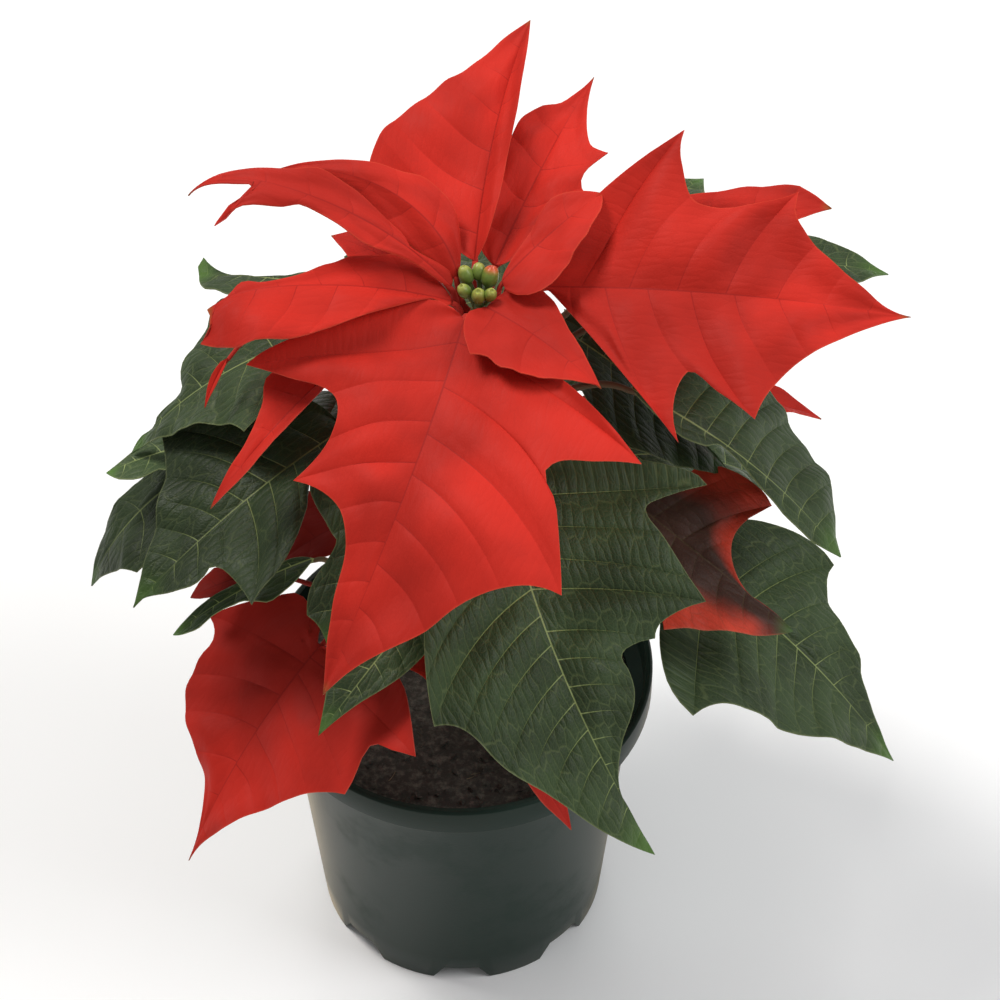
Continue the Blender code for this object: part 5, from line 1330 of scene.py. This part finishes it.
def build_pot(settings, material):
    """Thin-walled pot with a rim band, a raised floor with drain holes and a notched foot."""
    foot, rim, height = settings.foot_radius / MM, settings.rim_radius / MM, settings.height / MM
    band_bottom = height - RIM_BAND_HEIGHT
    step_bottom = band_bottom - BAND_STEP
    floor_top = FLOOR_HEIGHT + FLOOR_THICKNESS
    profile = (
        (PAD_RADIUS, 0), (PAD_RADIUS + PAD_DRAFT, FLOOR_HEIGHT), (foot - WALL - FOOT_DRAFT, FLOOR_HEIGHT),
        (foot - WALL, 0), (foot, 0), (PotShape.wall_radius(FIRST_WALL_RING), FIRST_WALL_RING),
        (PotShape.wall_radius(step_bottom), step_bottom), (rim - RIM_EDGE, band_bottom),
        (rim, band_bottom + RIM_EDGE), (rim, height - RIM_EDGE),
        (rim - RIM_EDGE, height), (rim - RIM_LIP_WIDTH, height),
        (rim - RIM_LIP_WIDTH - RIM_LIP_DRAFT, band_bottom + RIM_LIP_WIDTH),
        (BODY_TOP_RADIUS - WALL, step_bottom), (PotShape.wall_radius(floor_top) - WALL, floor_top),
        (WELL_RADIUS + WALL, floor_top), (WELL_RADIUS, FLOOR_THICKNESS),
    )
    pot = turned_body("dressed_pot", profile, POT_SIDES)
    cutters = [notch_cutter(2 * math.pi * step / FOOT_NOTCHES) for step in range(FOOT_NOTCHES)]
    cutters += [drain_cutter(2 * math.pi * (step + 0.5) / DRAIN_HOLES) for step in range(DRAIN_HOLES)]
    cutter = join(cutters)
    apply_modifier(pot, "BOOLEAN", operation="DIFFERENCE", solver="EXACT", object=cutter)
    bpy.data.objects.remove(cutter, do_unlink=True)
    apply_modifier(pot, "BEVEL", width=BEVEL_WIDTH * MM, segments=2, limit_method="ANGLE",
                   angle_limit=math.radians(BEVEL_ANGLE), use_clamp_overlap=True)
    pick(pot)
    bpy.ops.object.shade_smooth_by_angle(angle=math.radians(POT_SMOOTH_ANGLE))
    pot.data.materials.clear()
    pot.data.materials.append(material)
    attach(pot, ROOT)
    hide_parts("pot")


def soil_height(x, y):
    """Height of the rough soil surface above its mean level, in millimetres."""
    place = Vector((x, y, 0.0))
    broad = noise.noise(place / 17.0) * 1.5
    lumps = noise.noise(place / 5.5 + Vector((7.1, 0, 0))) * 0.9
    grit = noise.noise(place / 2.1 + Vector((0, 3.3, 0))) * 0.5
    return broad + lumps + grit


def soil_fade(reach):
    """Share of the roughness at a distance from the middle, less of it near the wall."""
    return min(1.0, (SOIL_RADIUS - reach) / 4.0 + 0.15)


def build_soil(material):
    """The filling of the pot, with a lumpy top that rises a little to the stem."""
    profile = [(40.0, SOIL_BOTTOM), (PotShape.wall_radius(SOIL_BOTTOM) - WALL - SOIL_GAP, SOIL_BOTTOM),
               (SOIL_RADIUS - SOIL_GAP, SOIL_TOP - 1.5)]
    for ring in range(SOIL_RINGS):
        profile.append((0.4 + (SOIL_RADIUS - 0.8) * (1 - ring / (SOIL_RINGS - 1)), SOIL_TOP))
    soil = turned_body("dressed_soil", profile, POT_SIDES)
    for point in soil.data.vertices:
        x, y, z = (value / MM for value in point.co)
        reach = math.hypot(x, y)
        if z > SOIL_TOP - 0.1:
            rise = STEM_MOUND * math.exp(-((reach - 6) / 9.0) ** 2)
            point.co.z = (SOIL_TOP + rise + soil_height(x, y) * soil_fade(reach)) * MM
    soil.data.shade_smooth()
    soil.data.materials.clear()
    soil.data.materials.append(material)
    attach(soil, ROOT)
    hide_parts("soil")


def copies_piece(name, points, faces, places, material):
    """One piece from many small turned and stretched copies of a modelled shape."""
    all_points, all_faces = [], []
    for index, (middle, turn, size) in enumerate(places):
        all_points.append((points * size) @ turn.T + middle)
        all_faces += [tuple(corner + index * len(points) for corner in face) for face in faces]
    return mesh_piece(name, np.vstack(all_points), all_faces, material, 40)


def take_pattern():
    """Points and faces of the shape that was added last, which is then removed."""
    pattern = bpy.context.object
    points = np.array([tuple(point.co) for point in pattern.data.vertices])
    faces = [tuple(face.vertices) for face in pattern.data.polygons]
    bpy.data.objects.remove(pattern, do_unlink=True)
    return points, faces


def add_part(all_points, all_faces, points, faces):
    """Add one more body's points and faces to those of a piece."""
    start = sum(len(items) for items in all_points)
    all_points.append(points)
    all_faces += [tuple(corner + start for corner in face) for face in faces]


def random_turn(draw):
    """A seeded rotation matrix."""
    axis = unit([draw.gauss(0, 1) for _ in range(3)])
    return np.array([turned(row, axis, draw.uniform(0, 360)) for row in np.eye(3)])


def build_crumbs(material):
    """Peat crumbs lying in the soil's surface."""
    deselect_all()
    bpy.ops.mesh.primitive_ico_sphere_add(subdivisions=1, radius=1.0)
    points, faces = take_pattern()
    draw = random.Random("crumbs")
    points *= np.array([[draw.uniform(0.75, 1.2)] for _ in points])
    places = []
    for _ in range(CRUMBS):
        reach = math.sqrt(draw.uniform(0.02, 1.0)) * (SOIL_RADIUS - CRUMB_EDGE_GAP)
        turn = draw.uniform(0, 2 * math.pi)
        x, y = reach * math.cos(turn), reach * math.sin(turn)
        if reach < CRUMB_CLEAR_RADIUS:
            continue
        size = draw.uniform(0.5, 1.0) ** 2 * CRUMB_SIZE
        stretch = np.array((size, size * draw.uniform(0.5, 1.0), size * draw.uniform(0.45, 0.8)))
        level = SOIL_TOP + soil_height(x, y) * soil_fade(reach)
        places.append((np.array((x, y, level + 0.1 * size)), random_turn(draw), stretch))
    crumbs = copies_piece("soil_crumbs", points, faces, places, material)
    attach(crumbs, ROOT)


def build_fibres(material):
    """Thin dry fibres lying on the soil."""
    draw = random.Random("fibres")
    all_points, all_faces = [], []
    for _ in range(FIBRES):
        reach = math.sqrt(draw.uniform(0.05, 1.0)) * (SOIL_RADIUS - FIBRE_EDGE_GAP)
        turn = draw.uniform(0, 2 * math.pi)
        x, y = reach * math.cos(turn), reach * math.sin(turn)
        heading = draw.uniform(0, math.pi)
        length = draw.uniform(1.5, 5.5)
        bend = draw.uniform(-0.25, 0.25)
        path, radii = [], []
        for share in np.linspace(-0.5, 0.5, 6):
            along = share * length
            px = x + along * math.cos(heading) - bend * along ** 2 * math.sin(heading) / length
            py = y + along * math.sin(heading) + bend * along ** 2 * math.cos(heading) / length
            path.append((px, py, SOIL_TOP + soil_height(px, py) + FIBRE_LIFT))
            radii.append(draw.uniform(0.09, 0.2))
        add_part(all_points, all_faces, *tube(path, radii, 5))
    fibres = mesh_piece("soil_fibres", np.vstack(all_points), all_faces, material, 60)
    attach(fibres, ROOT)


def build_stem(material):
    """The main stem and its side shoots, swollen where leaf stalks leave."""
    all_points, all_faces = [], []
    for name, (points, radii) in SHOOTS.items():
        points = np.array(points, float)
        heights = np.arange(points[0, 2], points[-1, 2] + 0.01, SHOOT_STEP)
        heights[-1] = points[-1, 2]
        path = np.stack([np.interp(heights, points[:, 2], points[:, axis]) for axis in range(3)], axis=-1)
        kernel = np.array((1, 2, 3, 2, 1), float) / 9
        for axis in (0, 1):
            padded = np.pad(path[:, axis], 2, mode="edge")
            path[:, axis] = np.convolve(padded, kernel, mode="valid")
        path[0], path[-1] = points[0], points[-1]
        size = np.interp(heights, points[:, 2], radii)
        for blade in BLADES:
            if blade.shoot == name:
                reach = (heights - blade.joint) / NODE_HALF_HEIGHT
                size = size * (1 + NODE_SWELLING * np.exp(-reach ** 2))
        size = np.minimum(size, np.interp(heights, points[:, 2], radii) * MOST_SWELLING)
        size[-1] *= 0.8
        add_part(all_points, all_faces, *tube(path, size, SHOOT_SIDES))
    stem = mesh_piece("dressed_stem", np.vstack(all_points), all_faces, material, 50)
    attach(stem, ROOT)
    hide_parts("stem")


def bud_points(points, mouth):
    """An egg from a ball, with a drawn-in foot, faint ribs and a small mouth at the top."""
    shaped = points.copy()
    height = points[:, 2]
    waist = np.where(height < -0.55, 0.62 + 0.38 * smooth_step(-1.0, -0.55, height), 1.0)
    shaped[:, 0] *= waist
    shaped[:, 1] *= waist
    ribs = 1 + 0.045 * np.cos(5 * np.arctan2(points[:, 1], points[:, 0])) * smooth_step(0.2, 0.8, height)
    shaped[:, :2] *= ribs[:, None]
    shaped[:, 2] = height * BUD_LENGTH - mouth * 0.45 * smooth_step(0.93, 1.0, height)
    return shaped


def build_buds(material):
    """The cluster of buds on a small head at the end of the main stem."""
    deselect_all()
    bpy.ops.mesh.primitive_uv_sphere_add(segments=20, ring_count=16, radius=1.0)
    ball, faces = take_pattern()
    x, y, _ = SHOOTS["main"][0][-1]
    levels = (HEAD_FLOOR - 0.5, HEAD_FLOOR + 0.5 * HEAD_HEIGHT, HEAD_FLOOR + HEAD_HEIGHT)
    path = [(x, y, level) for level in levels]
    points, all_faces = tube(path, (0.85 * HEAD_RADIUS, HEAD_RADIUS, 0.6 * HEAD_RADIUS), 24)
    all_points = [points]
    heights, blush = [np.zeros(len(points))], [np.zeros(len(points))]
    for index, (ring, turn, height, radius) in enumerate(BUDS):
        angle = math.radians(turn)
        east, north = ring * math.cos(angle), ring * math.sin(angle)
        middle = np.array((x + east, y + north, height))
        start = np.array((x + 0.4 * east, y + 0.4 * north, HEAD_FLOOR + 1.0))
        upward = unit(middle - start)
        side = unit(np.cross(upward, (0.3, 1.0, 0.1)))
        frame_rows = np.stack([side, np.cross(upward, side), upward])
        shaped = bud_points(ball, 1.0) * radius * BUD_FULLNESS @ frame_rows + middle
        stalk_path = [start, start + (middle - start) * 0.5, middle - upward * radius * 0.9]
        stalk_points, stalk_faces = tube(stalk_path, (0.9, 0.85, 0.95), 12)
        tall = (ball[:, 2] + 1) / 2
        for part, part_faces, level in ((shaped, faces, tall),
                                        (stalk_points, stalk_faces, np.zeros(len(stalk_points)))):
            add_part(all_points, all_faces, part, part_faces)
            heights.append(level)
            red = smooth_step(0.7, 0.95, level) if index == RED_TIPPED_BUD else 0.0 * level
            blush.append(red)
    buds = mesh_piece("dressed_cyathia", np.vstack(all_points), all_faces, material, 60)
    add_point_values(buds, {"height": np.concatenate(heights), "blush": np.concatenate(blush)})
    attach(buds, ROOT)
    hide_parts("cyathia")


def area_light(name, place, target, size, power, colour):
    """A rectangular soft light that points at a target."""
    deselect_all()
    bpy.ops.object.light_add(type="AREA", location=place)
    light = bpy.context.object
    light.name = name
    light.data.shape = "RECTANGLE"
    light.data.size, light.data.size_y = size
    light.data.energy = power
    light.data.color = colour
    light.rotation_euler = (Vector(target) - Vector(place)).to_track_quat("-Z", "Y").to_euler()
    return light


# Settings and operators

POT_LOW, POT_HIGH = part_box("pot")


def length_setting(name, description, default):
    """A length in metres that the panel shows."""
    return bpy.props.FloatProperty(name=name, description=description, default=default, unit="LENGTH")


def colour_setting(name, description, default):
    """An opaque colour that the panel shows."""
    return bpy.props.FloatVectorProperty(name=name, description=description, subtype="COLOR", size=4,
                                         default=default + (1.0,))


class PotSettings(bpy.types.PropertyGroup):
    """Sizes of the pot."""

    rim_radius: length_setting("Rim radius", "Outer radius of the pot's rim", (POT_HIGH.x - POT_LOW.x) / 2)
    foot_radius: length_setting("Foot radius", "Outer radius of the pot's foot", 0.050)
    height: length_setting("Height", "Height of the pot", POT_HIGH.z)


class BladeSettings(bpy.types.PropertyGroup):
    """Relief of the leaves and bracts."""

    thickness: length_setting("Thickness", "Thickness of a blade between its veins", 0.0005)
    vein_depth: length_setting("Vein depth", "Depth of the groove over a side vein", 0.0002)
    quilting: length_setting("Quilting", "Rise of the blade between two side veins", 0.0007)
    fold_depth: length_setting("Fold depth", "Depth of the broad fold along a lobe's vein", 0.0016)
    swell: length_setting("Swell", "Height of the broad soft folds across a blade", 0.0013)
    margin_wave: length_setting("Margin wave", "Height of the waves along the margin", 0.0014)


class ColourSettings(bpy.types.PropertyGroup):
    """Main colours of the plant and its pot."""

    bract: colour_setting("Bract", "Red of the bracts", (0.56, 0.024, 0.014))
    bract_vein: colour_setting("Bract veins", "Darker red of the bracts' veins", (0.23, 0.008, 0.007))
    leaf: colour_setting("Leaf", "Green of the leaves", (0.040, 0.066, 0.025))
    leaf_vein: colour_setting("Leaf veins", "Yellow-green of the leaves' veins", (0.25, 0.30, 0.11))
    pot: colour_setting("Pot", "Dark grey-green of the pot", (0.010, 0.023, 0.018))
    soil: colour_setting("Soil", "Dark brown of the moist peat", (0.036, 0.032, 0.027))
    stem: colour_setting("Stem", "Green-brown of the stem", (0.13, 0.16, 0.055))
    bud: colour_setting("Buds", "Green of the buds", (0.17, 0.24, 0.040))


def finish_for(kind, colours):
    """The material of a kind of blade, made at its first use."""
    makers = {RED: bract_finish, GREEN: leaf_finish, TURNING: turning_finish}
    name = {RED: "bract_red_finish", GREEN: "leaf_green_finish", TURNING: "bract_turning_finish"}[kind]
    return bpy.data.materials.get(name) or makers[kind](colours)


def build_blades(context, kind):
    """All blades of one kind."""
    material = finish_for(kind, context.scene.poinsettia_colours)
    for blade in BLADES:
        if blade.kind == kind:
            build_blade(blade, context.scene.poinsettia_blades, material)


class POINSETTIA_OT_pot(bpy.types.Operator):
    """Add the pot"""

    bl_idname = "poinsettia.pot"
    bl_label = "Pot"

    def execute(self, context):
        build_pot(context.scene.poinsettia_pot, pot_finish(context.scene.poinsettia_colours))
        return {"FINISHED"}


class POINSETTIA_OT_soil(bpy.types.Operator):
    """Add the soil with its crumbs and fibres"""

    bl_idname = "poinsettia.soil"
    bl_label = "Soil"

    def execute(self, context):
        material = soil_finish(context.scene.poinsettia_colours)
        build_soil(material)
        build_crumbs(material)
        build_fibres(fibre_finish(context.scene.poinsettia_colours))
        return {"FINISHED"}


class POINSETTIA_OT_stem(bpy.types.Operator):
    """Add the stem with its side shoots"""

    bl_idname = "poinsettia.stem"
    bl_label = "Stem"

    def execute(self, context):
        build_stem(bark_finish(context.scene.poinsettia_colours))
        return {"FINISHED"}


class POINSETTIA_OT_buds(bpy.types.Operator):
    """Add the buds in the middle of the red head"""

    bl_idname = "poinsettia.buds"
    bl_label = "Buds"

    def execute(self, context):
        build_buds(bud_finish(context.scene.poinsettia_colours))
        return {"FINISHED"}


class POINSETTIA_OT_bracts(bpy.types.Operator):
    """Add the red bracts"""

    bl_idname = "poinsettia.bracts"
    bl_label = "Red bracts"

    def execute(self, context):
        build_blades(context, RED)
        return {"FINISHED"}


class POINSETTIA_OT_turning_bracts(bpy.types.Operator):
    """Add the bracts that are part green and part red"""

    bl_idname = "poinsettia.turning_bracts"
    bl_label = "Two-tone bracts"

    def execute(self, context):
        build_blades(context, TURNING)
        return {"FINISHED"}


class POINSETTIA_OT_leaves(bpy.types.Operator):
    """Add the green leaves"""

    bl_idname = "poinsettia.leaves"
    bl_label = "Green leaves"

    def execute(self, context):
        build_blades(context, GREEN)
        return {"FINISHED"}


class POINSETTIA_OT_stage(bpy.types.Operator):
    """Add the floor, the lights, the world and the camera"""

    bl_idname = "poinsettia.stage"
    bl_label = "Studio"

    def execute(self, context):
        scene = context.scene
        deselect_all()
        bpy.ops.mesh.primitive_plane_add(size=FLOOR_SIZE, location=(0, 0, -FLOOR_DROP))
        floor = context.object
        floor.name = "floor"
        floor.data.materials.append(floor_finish())
        for name, place, size, power, colour in LIGHTS:
            area_light(name, place, LIGHT_TARGET, size, power, colour)
        world = bpy.data.worlds.new("studio")
        world.use_nodes = True
        background = world.node_tree.nodes["Background"]
        background.inputs["Color"].default_value = (1.0, 1.0, 1.0, 1.0)
        background.inputs["Strength"].default_value = WORLD_STRENGTH
        scene.world = world
        scene.view_settings.view_transform = "Standard"
        deselect_all()
        bpy.ops.object.camera_add(location=CAMERA_PLACE,
                                  rotation=(math.radians(90 - CAMERA_PITCH), 0, 0))
        camera = context.object
        camera.name = "camera"
        camera.data.sensor_width = CAMERA_SENSOR
        camera.data.lens = CAMERA_LENS
        camera.data.clip_start = 0.01
        scene.camera = camera
        return {"FINISHED"}


class POINSETTIA_PT_panel(bpy.types.Panel):
    """Sizes, colours and pieces of the poinsettia"""

    bl_idname = "POINSETTIA_PT_panel"
    bl_label = "Poinsettia"
    bl_space_type = "VIEW_3D"
    bl_region_type = "UI"
    bl_category = "Poinsettia"

    def draw(self, context):
        layout = self.layout
        for settings in (context.scene.poinsettia_pot, context.scene.poinsettia_blades,
                         context.scene.poinsettia_colours):
            for name in settings.__annotations__:
                layout.prop(settings, name)
        for operator in OPERATORS:
            layout.operator(operator.bl_idname)


SETTINGS = (("poinsettia_pot", PotSettings), ("poinsettia_blades", BladeSettings),
            ("poinsettia_colours", ColourSettings))
OPERATORS = (POINSETTIA_OT_pot, POINSETTIA_OT_soil, POINSETTIA_OT_stem, POINSETTIA_OT_buds,
             POINSETTIA_OT_bracts, POINSETTIA_OT_turning_bracts, POINSETTIA_OT_leaves, POINSETTIA_OT_stage)


def register():
    """Register the settings, the operators and the panel."""
    for name, settings in SETTINGS:
        bpy.utils.register_class(settings)
        setattr(bpy.types.Scene, name, bpy.props.PointerProperty(type=settings))
    for operator in OPERATORS:
        bpy.utils.register_class(operator)
    bpy.utils.register_class(POINSETTIA_PT_panel)


def unregister():
    """Undo register."""
    bpy.utils.unregister_class(POINSETTIA_PT_panel)
    for operator in reversed(OPERATORS):
        bpy.utils.unregister_class(operator)
    for name, settings in reversed(SETTINGS):
        delattr(bpy.types.Scene, name)
        bpy.utils.unregister_class(settings)


def main():
    """Register the add-on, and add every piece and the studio."""
    register()
    bpy.ops.poinsettia.pot()
    bpy.ops.poinsettia.soil()
    bpy.ops.poinsettia.stem()
    bpy.ops.poinsettia.buds()
    bpy.ops.poinsettia.bracts()
    bpy.ops.poinsettia.turning_bracts()
    bpy.ops.poinsettia.leaves()
    bpy.ops.poinsettia.stage()
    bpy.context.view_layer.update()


if __name__ == "__main__":
    main()
